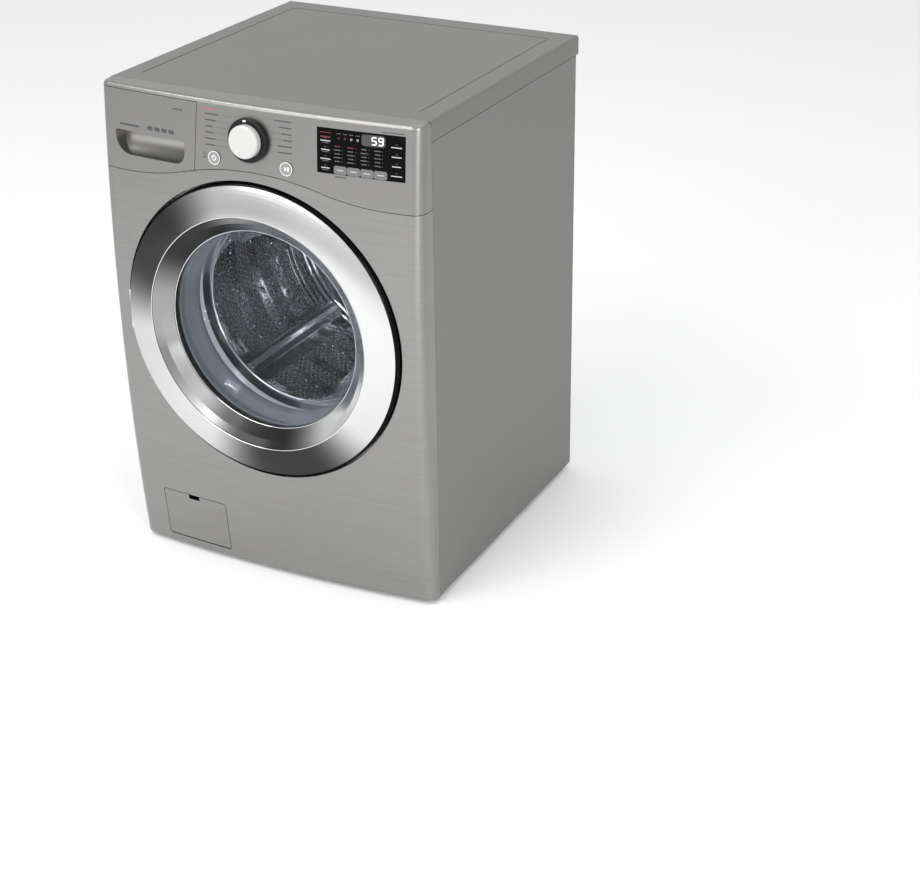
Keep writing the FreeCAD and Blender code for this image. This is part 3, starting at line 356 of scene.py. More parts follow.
@dataclass(frozen=True)
class Moulded:
    """Moulded plastic or rubber with a spark eroded skin."""

    name: str
    color: RGB
    roughness: float = 0.5
    skin: float = 0.00008
    skin_scale: float = 900.0
    shine: float = 0.5

    def build(self) -> bpy.types.Material:
        """Makes the material."""
        graph = Graph(self.name)
        skin = graph.noise(graph.place(), self.skin_scale, 2.0)
        flow = graph.noise(graph.place(), 14.0, 3.0)
        return graph.dress(
            Base_Color=graph.blend(flow, tinted(self.color, -0.08), tinted(self.color, 0.08)),
            Roughness=flow * 0.12 + skin * 0.05 + (self.roughness - 0.08),
            Specular_IOR_Level=self.shine,
            Normal=graph.relief(skin, self.skin, 0.6),
        )


@dataclass(frozen=True)
class Chrome:
    """Plated metal turned on a lathe: rings of faint grain round the drum's axis, and dark reflections painted
    into its colour at given angles round the axis.
    """

    name: str
    color: RGB
    axis_height: float
    roughness: float = 0.08
    grain: float = 0.05
    # Painted reflections: angles and depths of the dark sweeps, how soft their edges are, and their dark tone.
    painted_reflections: tuple[tuple[float, float], ...] = ()
    painted_reflection_edges: tuple[float, float] = (0.74, 0.985)
    painted_reflection_tone: RGB = (0.012, 0.012, 0.012)

    def build(self) -> bpy.types.Material:
        """Makes the material."""
        graph = Graph(self.name)
        turn, reach, depth = graph.polar(self.axis_height)
        rings = graph.noise(graph.packed(turn * 0.8, reach * 1500.0, depth * 1500.0), 1.0, 2.0)
        smudge = graph.noise(graph.place(), 9.0, 4.0)
        bright = graph.blend(rings, tinted(self.color, -self.grain), self.color)
        # Dark reflections painted into the base colour, each centred on a given angle round the axis.
        for degrees, share in self.painted_reflections:
            nearness = (turn - math.radians(degrees)).maths("COSINE")
            bright = graph.blend(nearness.step(*self.painted_reflection_edges) * share, bright, self.painted_reflection_tone)
        return graph.dress(
            Base_Color=bright,
            Roughness=rings * 0.05 + smudge * 0.04 + (self.roughness - 0.04),
            Metallic=1.0,
            Normal=graph.relief(rings, 0.00002, 0.4),
        )


@dataclass(frozen=True)
class Galvanised:
    """Zinc coated sheet with crystal spangle."""

    name: str
    color: RGB
    roughness: float = 0.42

    def build(self) -> bpy.types.Material:
        """Makes the material."""
        graph = Graph(self.name)
        spangle = graph.cells(graph.place(), 140.0)
        stain = graph.noise(graph.place(), 7.0, 4.0)
        shade = spangle * 0.7 + stain * 0.3
        return graph.dress(
            Base_Color=graph.blend(shade, tinted(self.color, -0.14), tinted(self.color, 0.08)),
            Roughness=spangle * 0.12 + stain * 0.1 + (self.roughness - 0.1),
            Metallic=0.9,
            Normal=graph.relief(spangle, 0.00003, 0.4),
        )


@dataclass(frozen=True)
class Cast:
    """Cast stone or metal with pores and a rough skin."""

    name: str
    color: RGB
    roughness: float = 0.8
    metallic: float = 0.0
    pore: float = 0.0006
    scale: float = 160.0

    def build(self) -> bpy.types.Material:
        """Makes the material."""
        graph = Graph(self.name)
        coarse = graph.noise(graph.place(), self.scale, 6.0)
        blotch = graph.noise(graph.place(), 9.0, 4.0)
        pores = coarse.step(0.3, 0.5)
        shade = pores * 0.6 + blotch * 0.4
        return graph.dress(
            Base_Color=graph.blend(shade, tinted(self.color, -0.3), tinted(self.color, 0.1)),
            Roughness=blotch * 0.12 + (self.roughness - 0.06),
            Metallic=self.metallic,
            Normal=graph.relief(coarse, self.pore, 0.7),
        )


@dataclass(frozen=True)
class Perforated:
    """Stainless drum sheet with patches of round holes and pressed relief between them."""

    name: str
    color: RGB
    axis_height: float
    radius: float = 0.28
    pitch: float = 0.0115
    hole: float = 0.0021
    flat: bool = False

    # Pressed lobes and rim of the drum's end: distances from the axis, and half their widths.
    LOBES, LOBE_SWING, LOBE_HALF = 0.150, 0.034, 0.011
    RIM, RIM_HALF = 0.260, 0.007
    # Drum's wall: length of a band of holes and domes, the domes' pitch, and the bead near the end.
    BAND, DOME_PITCH, DOME_ROW = 0.078, 0.027, 0.82
    BEAD, BEAD_HALF, LAST_HOLES = 0.188, 0.008, 0.168

    def relief(self, graph: Graph, turn: Signal, reach: Signal, depth: Signal) -> tuple[Signal, Signal]:
        """Pressed relief of the sheet.

        Args:
            graph: The material's tree.
            turn: Turn round the drum's axis.
            reach: Distance from it.
            depth: Place along it.

        Returns:
            The relief from 0 to 1, and 1 where holes may lie.
        """
        if self.flat:
            middle = (turn * 3.0 + 0.6).maths("COSINE") * self.LOBE_SWING + self.LOBES
            lobes = ((reach - middle).maths("ABSOLUTE") - self.LOBE_HALF).maths("ABSOLUTE")
            rim = ((reach - self.RIM).maths("ABSOLUTE") - self.RIM_HALF).maths("ABSOLUTE")
            ridge = lobes.maths("MINIMUM", rim)
            return 1.0 - ridge.step(0.0015, 0.0075), ridge.step(0.009, 0.010)
        band = ((depth + 0.25) / self.BAND).fraction()
        along = (turn * (self.radius / self.DOME_PITCH)).fraction() - 0.5
        across = (band - self.DOME_ROW) * (self.BAND / self.DOME_PITCH)
        domes = (along * along + across * across).root().step(0.06, 0.26)
        bead = ((depth - self.BEAD).maths("ABSOLUTE") - self.BEAD_HALF).maths("ABSOLUTE").step(0.001, 0.006)
        in_band = 1.0 - band.step(0.60, 0.61)
        before_bead = 1.0 - depth.step(self.LAST_HOLES, self.LAST_HOLES + 0.001)
        return 1.0 - bead.maths("MINIMUM", domes), in_band * before_bead

    def build(self) -> bpy.types.Material:
        """Makes the material. The flat form lays the holes out over the drum's end."""
        graph = Graph(self.name)
        turn, reach, depth = graph.polar(self.axis_height)
        if self.flat:
            across, depth, up = graph.axes()
            row, along = (up - self.axis_height) / (self.pitch * 0.866), across / self.pitch
        else:
            row, along = depth / (self.pitch * 0.866), turn * (self.radius / self.pitch)
        raised, open_ground = self.relief(graph, turn, reach, depth)
        odd = (row.floor() * 0.5).fraction()
        side = (along + odd).fraction() - 0.5
        rise = row.fraction() - 0.5
        away = (side * side + rise * rise * 0.75).root() * self.pitch
        solid = 1.0 - (1.0 - away.step(self.hole * 0.8, self.hole * 1.05)) * open_ground
        rim = 1.0 - (1.0 - away.step(self.hole, self.hole * 1.9)) * open_ground
        brush = graph.noise(graph.stretched((60.0, 500.0, 60.0)), 1.0, 2.0)
        ripple = graph.noise(graph.place(), 26.0, 1.0)
        steel = graph.blend(brush, tinted(self.color, -0.14), tinted(self.color, 0.06))
        return graph.dress(
            Base_Color=graph.blend(solid, (0.004, 0.004, 0.005), steel),
            Roughness=(1.0 - solid) * 0.5 + brush * 0.08 + 0.07,
            Metallic=solid,
            Normal=graph.relief(rim * 0.22 + raised + ripple * 0.3, 0.0046, 1.0),
        )


@dataclass(frozen=True)
class Glass:
    """Clear moulded glass, seen through with a reflection that grows at a slant."""

    name: str
    tint: RGB
    axis_height: float
    roughness: float = 0.02
    mirror: RGB = (0.74, 0.77, 0.82)
    mirror_share: float = 0.38
    least_share: float = 0.005

    def build(self) -> bpy.types.Material:
        """Makes the material."""
        graph = Graph(self.name)
        turn, reach, depth = graph.polar(self.axis_height)
        ripple = graph.noise(graph.packed(turn * 2.2, reach * 26.0, depth * 34.0), 1.0, 2.0)
        normal = graph.relief(ripple, 0.004, 0.5)
        graph.dress(
            Base_Color=self.mirror, Metallic=0.75, Normal=normal, Roughness=ripple * 0.02 + self.roughness
        )
        clear = graph.node("ShaderNodeBsdfTransparent", {}, {"Color": (*self.tint, 1.0)})
        slant = graph.node("ShaderNodeLayerWeight", {}, {"Blend": 0.18, "Normal": normal})
        share = Signal(graph, slant.outputs["Fresnel"]) * self.mirror_share + self.least_share
        mixed = graph.node("ShaderNodeMixShader", {}, {0: share})
        links = graph.tree.links
        links.new(clear.outputs[0], mixed.inputs[1])
        links.new(graph.surface.outputs[0], mixed.inputs[2])
        links.new(mixed.outputs[0], graph.tree.nodes["Material Output"].inputs["Surface"])
        return graph.material


@dataclass(frozen=True)
class Glow:
    """Printed or lit mark that gives out a little light of its own."""

    name: str
    color: RGB
    glow: float = 0.0

    def build(self) -> bpy.types.Material:
        """Makes the material."""
        graph = Graph(self.name)
        grain = graph.noise(graph.place(), 1500.0, 1.0)
        return graph.dress(
            Base_Color=graph.blend(grain, tinted(self.color, -0.06), self.color),
            Roughness=grain * 0.1 + 0.4,
            Emission_Color=self.color,
            Emission_Strength=self.glow,
        )


class Shape:
    """A mesh under construction, made with bmesh operators."""

    def __init__(self) -> None:
        """Starts empty."""
        self.bm = bmesh.new()

    def plate(self, outline: list[tuple[float, float]], y: float, thick: float) -> list[Any]:
        """Adds a flat plate standing across y.

        Args:
            outline: Its corners as x and z, anticlockwise seen from the front.
            y: Its front face.
            thick: Its thickness, backwards.

        Returns:
            Its vertices.
        """
        corners = [self.bm.verts.new((x, y, z)) for x, z in outline]
        face = self.bm.faces.new(corners)
        back = bmesh.ops.extrude_face_region(self.bm, geom=[face], use_keep_orig=True)
        moved = [part for part in back["geom"] if isinstance(part, bmesh.types.BMVert)]
        bmesh.ops.translate(self.bm, vec=(0.0, thick, 0.0), verts=moved)
        return corners + moved

    def spun(self, profile: list[tuple[float, float]], height: float, steps: int, closed: bool = True) -> None:
        """Adds a ring whose section is turned about a line along y.

        Args:
            profile: The section as distance from the line and y.
            height: The line's height above the floor.
            steps: How many steps the full turn has.
            closed: Whether the section's end joins its start.
        """
        verts = [self.bm.verts.new((reach, y, height)) for reach, y in profile]
        pairs = list(zip(verts, verts[1:])) + ([(verts[-1], verts[0])] if closed else [])
        edges = [self.bm.edges.new(pair) for pair in pairs]
        bmesh.ops.spin(
            self.bm,
            geom=verts + edges,
            cent=(0.0, 0.0, height),
            axis=(0.0, 1.0, 0.0),
            angle=math.tau,
            steps=steps,
            use_merge=True,
        )

    def coil(self, foot: Vector, reach: float, wire: float, rise: float, turns: float) -> None:
        """Adds a wire coil that climbs along z.

        Args:
            foot: Middle of its lowest turn.
            reach: Radius to the middle of the wire.
            wire: Radius of the wire.
            rise: Height from its first to its last turn.
            turns: Number of turns.
        """
        ring = bmesh.ops.create_circle(self.bm, cap_ends=True, segments=8, radius=wire)["verts"]
        place = Matrix.Translation(foot + Vector((reach, 0.0, 0.0))) @ Matrix.Rotation(math.pi / 2, 4, "X")
        bmesh.ops.transform(self.bm, matrix=place, verts=ring)
        face = ring[0].link_faces[0]
        steps = int(turns * COIL_STEPS)
        bmesh.ops.spin(
            self.bm,
            geom=[face],
            cent=foot,
            axis=(0.0, 0.0, 1.0),
            dvec=(0.0, 0.0, rise / steps),
            angle=math.tau * turns,
            steps=steps,
        )

    def finish(
        self, name: str, slot: str, material: bpy.types.Material, smooth: bool = True
    ) -> bpy.types.Object:
        """Turns the shape into an object.

        Args:
            name: The piece's name.
            slot: Not used.
            material: Its material.
            smooth: Shades it smooth where its faces meet at under 35 degrees.

        Returns:
            The object, which doesn't ride on a body yet.
        """
        bmesh.ops.remove_doubles(self.bm, verts=self.bm.verts[:], dist=0.000001)
        bmesh.ops.recalc_face_normals(self.bm, faces=self.bm.faces[:])
        for face in self.bm.faces:
            face.smooth = smooth
        for edge in self.bm.edges:
            edge.smooth = len(edge.link_faces) == 2 and edge.calc_face_angle(0.0) < SMOOTH_ANGLE
        mesh = bpy.data.meshes.new(name)
        self.bm.to_mesh(mesh)
        self.bm.free()
        made = bpy.data.objects.new(name, mesh)
        bpy.context.scene.collection.objects.link(made)
        mesh.materials.append(material)
        return made


class Skin:
    """The outer surface of a CAD node, for laying marks on it."""

    def __init__(self, node: str) -> None:
        """Reads the node's mesh."""
        mesh = frame["nodes"][node].data
        corners = [vert.co.copy() for vert in mesh.vertices]
        self.tree = BVHTree.FromPolygons(corners, [tuple(face.vertices) for face in mesh.polygons])

    def front(self, x: float, z: float) -> float:
        """How far forward the surface lies.

        Args:
            x: Place across.
            z: Place up.

        Returns:
            The y of the first surface met from the front.
        """
        hit = self.tree.ray_cast(Vector((x, -1.0, z)), Vector((0.0, 1.0, 0.0)))[0]
        if hit is None:
            raise ValueError(f"nothing of the surface at {x:.4f}, {z:.4f}")
        return hit.y


class Print:
    """Flat marks printed on a node's front: bars, dots, rings and figures."""

    STROKES = {"5": "acdfg", "9": "abcdfg"}
    SUNK = 0.0001
    ROUNDING = 0.18
    RING_BARS = 24

    def __init__(self, node: str, proud: float = 0.00012) -> None:
        """Keeps the skin under the marks and how far they stand out of it."""
        self.skin = Skin(node)
        self.proud = proud
        self.shape = Shape()

    def bar(self, x: float, z: float, width: float, height: float, lean: float = 0.0) -> None:
        """Adds a bar with rounded corners.

        Args:
            x: Its middle across.
            z: Its middle up.
            width: Length across.
            height: Length up.
            lean: Turn in radians, anticlockwise.
        """
        y = self.skin.front(x, z)
        half_w, half_h, cut = width / 2, height / 2, self.ROUNDING * min(width, height)
        corners = [
            (-half_w + cut, -half_h), (half_w - cut, -half_h), (half_w, -half_h + cut), (half_w, half_h - cut),
            (half_w - cut, half_h), (-half_w + cut, half_h), (-half_w, half_h - cut), (-half_w, -half_h + cut),
        ]
        cos, sin = math.cos(lean), math.sin(lean)
        outline = [(x + across * cos - up * sin, z + across * sin + up * cos) for across, up in corners]
        made = self.shape.plate(outline, y - self.proud, 0.0)
        for vert in made[: len(corners)]:
            vert.co.y = self.skin.front(vert.co.x, vert.co.z) - self.proud
        for vert in made[len(corners):]:
            vert.co.y = self.skin.front(vert.co.x, vert.co.z) + self.SUNK

    def figure(self, digit: str, x: float, z: float, width: float, height: float, stroke: float) -> None:
        """Adds a seven stroke figure.

        Args:
            digit: The figure.
            x: Its left edge.
            z: Its lower edge.
            width: Its width.
            height: Its height.
            stroke: Thickness of a stroke.
        """
        mid, half = x + width / 2, height / 2
        places = {
            "a": (mid, z + height, True), "g": (mid, z + half, True), "d": (mid, z, True),
            "f": (x, z + 1.5 * half, False), "b": (x + width, z + 1.5 * half, False),
            "e": (x, z + half / 2, False), "c": (x + width, z + half / 2, False),
        }
        for key in self.STROKES[digit]:
            across, up, flat = places[key]
            size = (width - stroke * 0.5, stroke) if flat else (stroke, half - stroke * 0.5)
            self.bar(across + 0.1 * (up - z), up, size[0], size[1])

    def ring(
        self, x: float, z: float, reach: float, wide: float, start: float = 0.0, turn: float = math.tau
    ) -> None:
        """Adds a ring or an arc.

        Args:
            x: Its middle across.
            z: Its middle up.
            reach: Radius to the middle of the line.
            wide: Width of the line.
            start: Where it starts, in radians.
            turn: How far it goes round.
        """
        span = reach * turn / self.RING_BARS * 1.12
        for index in range(self.RING_BARS):
            angle = start + turn * (index + 0.5) / self.RING_BARS
            self.bar(x + reach * math.cos(angle), z + reach * math.sin(angle), span, wide, angle + math.pi / 2)

    def finish(self, name: str, slot: str, material: bpy.types.Material, body: str) -> bpy.types.Object:
        """Turns the marks into a piece on a body.

        Args:
            name: The piece's name.
            slot: Not used; only passed on to the shape.
            material: Its material.
            body: The body it rides on.

        Returns:
            The piece.
        """
        made = self.shape.finish(name, slot, material, smooth=False)
        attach(made, body)
        return made


@dataclass
class Finishes:
    """Every finish of the machine, made once."""

    axis_height: float

    def build(self) -> dict[str, bpy.types.Material]:
        """Makes the materials.

        Returns:
            The materials by name.
        """
        lathe = self.axis_height
        kinds = [
            Brushed("front_steel", (0.282, 0.278, 0.271), roughness=0.36),
            Brushed("flap_steel", (0.274, 0.27, 0.264), roughness=0.36),
            Painted("lid_paint", (0.158, 0.155, 0.150), roughness=0.42, metallic=0.35),
            Painted("side_paint", (0.165, 0.163, 0.158), roughness=0.45, metallic=0.3),
            Painted("fascia_paint", (0.252, 0.248, 0.241), roughness=0.33, metallic=0.85, peel=0.00002),
            Galvanised("zinc_sheet", (0.52, 0.54, 0.55)),
            Brushed("zinc_steel", (0.55, 0.54, 0.5), Grain.DOWN, 0.3),
            # The door ring's and the bezel's chrome carry painted dark reflections.
            Chrome("ring_chrome", (0.66, 0.66, 0.66), lathe, 0.2, painted_reflections=RING_PAINTED_REFLECTIONS),
            Chrome("cone_chrome", (0.64, 0.64, 0.64), lathe, 0.2, painted_reflections=CONE_PAINTED_REFLECTIONS),
            Chrome("plain_chrome", (0.78, 0.78, 0.78), lathe, 0.12),
            Painted("key_paint", (0.33, 0.325, 0.32), roughness=0.3, metallic=0.8, peel=0.00001),
            Moulded("window_black", (0.003, 0.0025, 0.003), 0.2, 0.00001, shine=0.06),
            Moulded("skirt_black", (0.009, 0.0085, 0.008), 0.3, 0.00003, shine=0.2),
            Moulded("black_plastic", (0.03, 0.03, 0.031), 0.5),
            Moulded("cap_white", (0.50, 0.497, 0.49), 0.3, 0.00002),
            Moulded("white_plastic", (0.74, 0.75, 0.75), 0.45),
            Moulded("blue_plastic", (0.05, 0.13, 0.34), 0.4),
            Moulded("bellows_rubber", (0.16, 0.17, 0.185), 0.55, 0.00005),
            Moulded("black_rubber", (0.022, 0.022, 0.022), 0.65),
            Moulded("tub_plastic", (0.36, 0.38, 0.39), 0.5, 0.00012, 500.0),
            Moulded("lifter_plastic", (0.42, 0.43, 0.45), 0.25, 0.00003),
            Moulded("board_green", (0.015, 0.075, 0.035), 0.25, 0.00004, 300.0),
            Perforated("drum_wall", (0.275, 0.28, 0.29), lathe, hole=0.0034),
            Perforated("drum_end", (0.40, 0.405, 0.415), lathe, pitch=0.0175, hole=0.0036, flat=True),
            Brushed("lifter_steel", (0.66, 0.67, 0.69), Grain.DOWN, 0.2, contrast=0.05),
            Chrome("drum_lip", (0.66, 0.67, 0.69), lathe, 0.14),
            Glass("bowl_glass", (0.925, 0.935, 0.955), lathe),
            Cast("spider_metal", (0.5, 0.5, 0.51), 0.5, 0.9, 0.0003),
            Cast("weight_stone", (0.32, 0.31, 0.29), 0.9),
            Cast("motor_steel", (0.16, 0.16, 0.165), 0.45, 0.9, 0.0001, 400.0),
            Glow("print_white", (0.86, 0.86, 0.86)),
            Glow("print_dark", (0.055, 0.054, 0.055)),
            Glow("print_red", (0.36, 0.10, 0.11)),
            Glow("lamp_red", (0.12, 0.012, 0.015)),
            Moulded("lcd_grey", (0.07, 0.066, 0.071), 0.4, 0.00001, shine=0.1),
            Moulded("key_grey", (0.15, 0.147, 0.15), 0.4, 0.00001, shine=0.1),
            Glow("print_dim", (0.075, 0.075, 0.08)),
            Glow("print_soft", (0.42, 0.42, 0.43)),
            Glow("digit_white", (0.9, 0.9, 0.9), 0.15),
        ]
        return {kind.name: kind.build() for kind in kinds}


@dataclass
class CarriedNodes:
    """The CAD nodes that keep their shape, and the finish each one gets."""

    finishes: dict[str, bpy.types.Material]

    BY_SLOT = {
        "graphite_steel": "front_steel",
        "graphite_paint": "lid_paint",
        "fascia": "fascia_paint",
        "side_paint": "side_paint",
        "galvanised": "zinc_sheet",
        "bright_chrome": "ring_chrome",
        "black_gloss": "window_black",
        "black_plastic": "black_plastic",
        "white_cap": "cap_white",
        "glass": "bowl_glass",
        "grey_rubber": "bellows_rubber",
        "black_rubber": "black_rubber",
        "tub_plastic": "tub_plastic",
        "drum_steel": "drum_lip",
        "drum_casting": "spider_metal",
        "lifter_plastic": "lifter_plastic",
        "concrete": "weight_stone",
        "white_plastic": "white_plastic",
        "blue_plastic": "blue_plastic",
        "motor_steel": "motor_steel",
        "zinc_steel": "zinc_steel",
        "board_green": "board_green",
    }
    BY_NODE = {
        "knob_skirt": "skirt_black",
        "power_button": "key_paint",
        "start_button": "key_paint",
        "door_bezel": "cone_chrome",
        "door_hinge_arm": "plain_chrome",
        "hinge_bracket": "plain_chrome",
        "door_hook": "plain_chrome",
        "drum_shell": "drum_wall",
        "drum_back": "drum_end",
        "filter_door": "flap_steel",
    }

    def dress(self) -> None:
        """Gives every node its material."""
        slots = {part["slot"] for part in frame["record"]["materials"]}
        for name, node in frame["nodes"].items():
            for place in node.material_slots:
                slot = place.material.name.split(".")[0]
                if slot not in slots:
                    LOG.warning("node %s has the unknown slot %s", name, slot)
                finish = self.BY_NODE.get(name, self.BY_SLOT.get(slot, "black_plastic"))
                place.material = self.finishes[finish]
            LOG.info("dressed %s", name)


@dataclass
class ControlArea:
    """Printed marks of the control panel, display, knob and keys."""

    finishes: dict[str, bpy.types.Material]
    knob_height: float
    knob_reach: float = 0.0445
    least_reach: float = 0.016
    row_gap: float = 0.01145
    bar_height: float = 0.0026
    leader: tuple[float, float] = (0.002, 0.00045)
    columns: tuple[tuple[int, float, float, tuple[float, ...]], ...] = (
        (-1, 0.0365, -0.0965, (0.030, 0.025, 0.017, 0.017, 0.024, 0.021)),
        (1, 0.0425, 0.0885, (0.036, 0.028, 0.022, 0.017, 0.029, 0.030)),
    )
    touch_keys: tuple[float, float, float] = (0.1861, 0.0262, 0.8872)
    lamps: tuple[float, float] = (0.183, 0.0125)
    round_keys: tuple[tuple[str, float], ...] = (("power", -0.077), ("start", 0.077))
    key_height: float = 0.876

    def build(self) -> None:
        """Makes every mark."""
        self.programmes()
        self.display()
        self.pointer()
        self.keys()
        self.drawer_marks()

    def programmes(self) -> None:
        """Short bars for the programmes on both sides of the knob, with leader lines."""
        dark, red = Print("control_panel"), Print("control_panel")
        gap, line = self.leader
        for index in range(len(self.columns[0][-1])):
            for side, top, outer, widths in self.columns:
                rise, width = top - index * self.row_gap, widths[index]
                z, x = self.knob_height + rise, outer - side * width / 2
                dark.bar(x, z, width, self.bar_height)
                edge = side * math.sqrt(max(self.knob_reach**2 - rise**2, self.least_reach**2))
                inner = x - side * (width / 2 + gap)
                dark.bar((inner + edge) / 2, z, abs(inner - edge), line)
        red.bar(-0.0865, self.knob_height + 0.0455, 0.021, 0.0026)
        red.bar(-0.1005, self.knob_height + 0.0105, 0.0006, 0.068)
        dark.bar(-0.0995, 0.874, 0.0075, 0.0022)
        dark.ring(-0.0995, 0.8805, 0.0026, 0.0008)
        dark.bar(0.187, 0.8745, 0.022, 0.002)
        dark.bar(0.288, 0.9655, 0.042, 0.0018)
        dark.finish("programme_marks", "black_plastic", self.finishes["print_dark"], "cabinet")
        red.finish("programme_header_marks", "black_plastic", self.finishes["print_red"], "cabinet")

    def display(self) -> None:
        """Screen with figures, the grey key strip, and the legends of the black window."""
        node = "display_window"
        screen = Print(node, 0.0001)
        screen.bar(0.251, 0.9478, 0.046, 0.0205)
        screen.finish("display_screen", "black_gloss", self.finishes["lcd_grey"], "cabinet")
        figures = Print(node, 0.00022)
        for place, digit in ((0.2475, "5"), (0.2605, "9")):
            figures.figure(digit, place, 0.9415, 0.0085, 0.0128, 0.0021)
        figures.finish("display_figures", "black_gloss", self.finishes["digit_white"], "cabinet")
        first, gap, level = self.touch_keys
        lamp_x, lamp_gap = self.lamps
        strip = Print(node, 0.0001)
        for index in range(4):
            strip.bar(first + index * gap, level, 0.0256, 0.0155)
        strip.finish("display_key_strip", "black_gloss", self.finishes["key_grey"], "cabinet")
        bright, dim, red = Print(node, 0.0002), Print(node, 0.0002), Print(node, 0.0002)
        for index in range(4):
            left, right = 0.9385 - index * 0.0165, 0.9405 - index * 0.0172
            bright.bar(0.1568, left, 0.020 - 0.003 * (index % 2), 0.0018)
            dim.bar(0.1568, left - 0.0036, 0.013, 0.0015)
            dim.bar(0.1568, left + 0.0052, 0.0045, 0.0011)
            bright.bar(0.2955, right, 0.021 - 0.002 * (index % 3), 0.0018)
            dim.bar(0.2955, right + 0.0052, 0.0045, 0.0011)
            bright.bar(first + index * gap, level, 0.013, 0.0018)
            dim.bar(lamp_x + index * lamp_gap, 0.9535, 0.008, 0.0013)
            (red if index < 2 else bright).ring(lamp_x + index * lamp_gap, 0.9455, 0.0017, 0.0009)
            for row in range(5):
                z, width = 0.9305 - row * 0.0068, 0.0105 + 0.003 * ((row + index) % 2)
                legend = red if row == 0 and index < 2 else dim
                legend.bar(0.1805 + index * gap, z, width, 0.0018)
                dim.ring(0.1900 + index * gap, z, 0.0005, 0.0006)
        red.bar(0.1568, 0.9535, 0.022, 0.0013)
        red.bar(0.1568, 0.9455, 0.020, 0.0024)
        bright.finish("display_legends", "black_gloss", self.finishes["print_soft"], "cabinet")
        dim.finish("display_small_legends", "black_gloss", self.finishes["print_dim"], "cabinet")
        red.finish("display_red_legends", "black_gloss", self.finishes["lamp_red"], "cabinet")

    def pointer(self) -> None:
        """White pointer on the knob's black skirt."""
        mark = Print("knob_skirt", 0.0002)
        mark.bar(-0.0035, self.knob_height + 0.0368, 0.0065, 0.0032, 0.1)
        mark.finish("knob_pointer", "white_cap", self.finishes["print_white"], "knob")

    def keys(self) -> None:
        """White symbols on the two round keys, and a white ring round each, a painted highlight standing in for
        the keys' bright chrome rims.
        """
        white, level = self.finishes["print_white"], self.key_height
        for name, x in self.round_keys:
            # Each key's chrome rim is drawn as a white printed ring: a painted highlight.
            rim = Print(f"{name}_button", 0.0002)
            rim.ring(x, level, 0.0122, 0.0010)
            rim.finish(f"{name}_rim", "bright_chrome", white, f"{name}_key")
        power = Print("power_button", 0.00015)
        power.ring(self.round_keys[0][1], level, 0.0042, 0.0013, math.radians(125), math.radians(290))
        power.bar(self.round_keys[0][1], level + 0.0042, 0.0013, 0.0046)
        power.finish("power_symbol", "white_cap", white, "power_key")
        start = Print("start_button", 0.00015)
        for index in range(5):
            start.bar(0.0742 + index * 0.0008, level, 0.0009, 0.0082 - index * 0.0017)
        for x in (0.0800, 0.0822):
            start.bar(x, level, 0.0013, 0.0078)
        start.finish("start_symbol", "white_cap", white, "start_key")

    def drawer_marks(self) -> None:
        """Short plain bars over the drawer's grip."""
        mark = Print("drawer_front")
        mark.bar(-0.2725, 0.9085, 0.046, 0.0042)
        for index in range(4):
            mark.bar(-0.2235 + index * 0.0165, 0.9095, 0.0125, 0.0075)
        mark.bar(-0.158, 0.9545, 0.024, 0.0026)
        mark.finish("drawer_marks", "black_plastic", self.finishes["print_dark"], "drawer")


@dataclass
class DrumFittings:
    """Ridged lifters and the bright bead round the drum's mouth."""

    finishes: dict[str, bpy.types.Material]
    axis_height: float
    half_section: tuple[tuple[float, float], ...] = (
        (0.0, 0.0470), (0.0035, 0.0470), (0.0062, 0.0510), (0.0100, 0.0475), (0.0140, 0.0420), (0.0160, 0.0385),
        (0.0185, 0.0375), (0.0215, 0.0300), (0.0240, 0.0250), (0.0300, 0.0140), (0.0370, 0.0034),
    )
    bead: float = 0.0017

    def build(self) -> None:
        """Makes the lifters and the bead."""
        self.lifters()
        self.mouth_bead()

    def lifters(self) -> None:
        """Three ridged lifters standing on the drum's wall."""
        low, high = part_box("drum_lifters")
        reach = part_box("drum_shell")[1][0] - 0.0014
        shape = Shape()
        section = [(x, reach - rise) for x, rise in self.half_section]
        section += [(-x, z) for x, z in reversed(section[1:])]
        made = shape.plate(section, low[1] + 0.004, high[1] - low[1] - 0.008)
        edges = {edge for vert in made for edge in vert.link_edges}
        ends = [edge for edge in edges if abs(edge.verts[0].co.y - edge.verts[1].co.y) < 1e-6]
        bmesh.ops.bevel(
            shape.bm, geom=ends, offset=0.0022, segments=2, profile=0.5, affect="EDGES", material=-1
        )
        centre = Vector((0, 0, self.axis_height))
        turn = Matrix.Rotation(math.radians(self.first_angle()), 4, "Y")
        bmesh.ops.transform(shape.bm, matrix=Matrix.Translation(centre) @ turn, verts=shape.bm.verts[:])
        bmesh.ops.spin(
            shape.bm,
            geom=shape.bm.verts[:] + shape.bm.edges[:] + shape.bm.faces[:],
            cent=centre,
            axis=(0.0, 1.0, 0.0),
            angle=math.radians(240),
            steps=2,
            use_duplicate=True,
        )
        made = shape.finish("lifter_ridges", "drum_steel", self.finishes["lifter_steel"])
        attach(made, "drum")
        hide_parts("drum_lifters")

    def first_angle(self) -> float:
        """Turn of the lifter that stands nearest the top, in degrees about y.

        Returns:
            The angle.
        """
        mesh = frame["nodes"]["drum_lifters"].data
        tips = [
            vert.co for vert in mesh.vertices
            if vert.co.z > self.axis_height and math.hypot(vert.co.x, vert.co.z - self.axis_height) < 0.2275
        ]
        mean = sum((Vector((tip.x, 0.0, tip.z)) for tip in tips), Vector()) / len(tips)
        return math.degrees(math.atan2(mean.x, mean.z - self.axis_height))

    def mouth_bead(self) -> None:
        """Rolled bead on the edge of the drum's mouth."""
        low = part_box("drum_front")[0]
        reach, count = 0.1972, 10
        profile = []
        for index in range(count):
            angle = math.tau * index / count
            profile.append((reach + self.bead * math.cos(angle), low[1] + self.bead * math.sin(angle)))
        shape = Shape()
        shape.spun(profile, self.axis_height, 120)
        made = shape.finish("drum_mouth_bead", "drum_steel", self.finishes["plain_chrome"])
        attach(made, "drum")


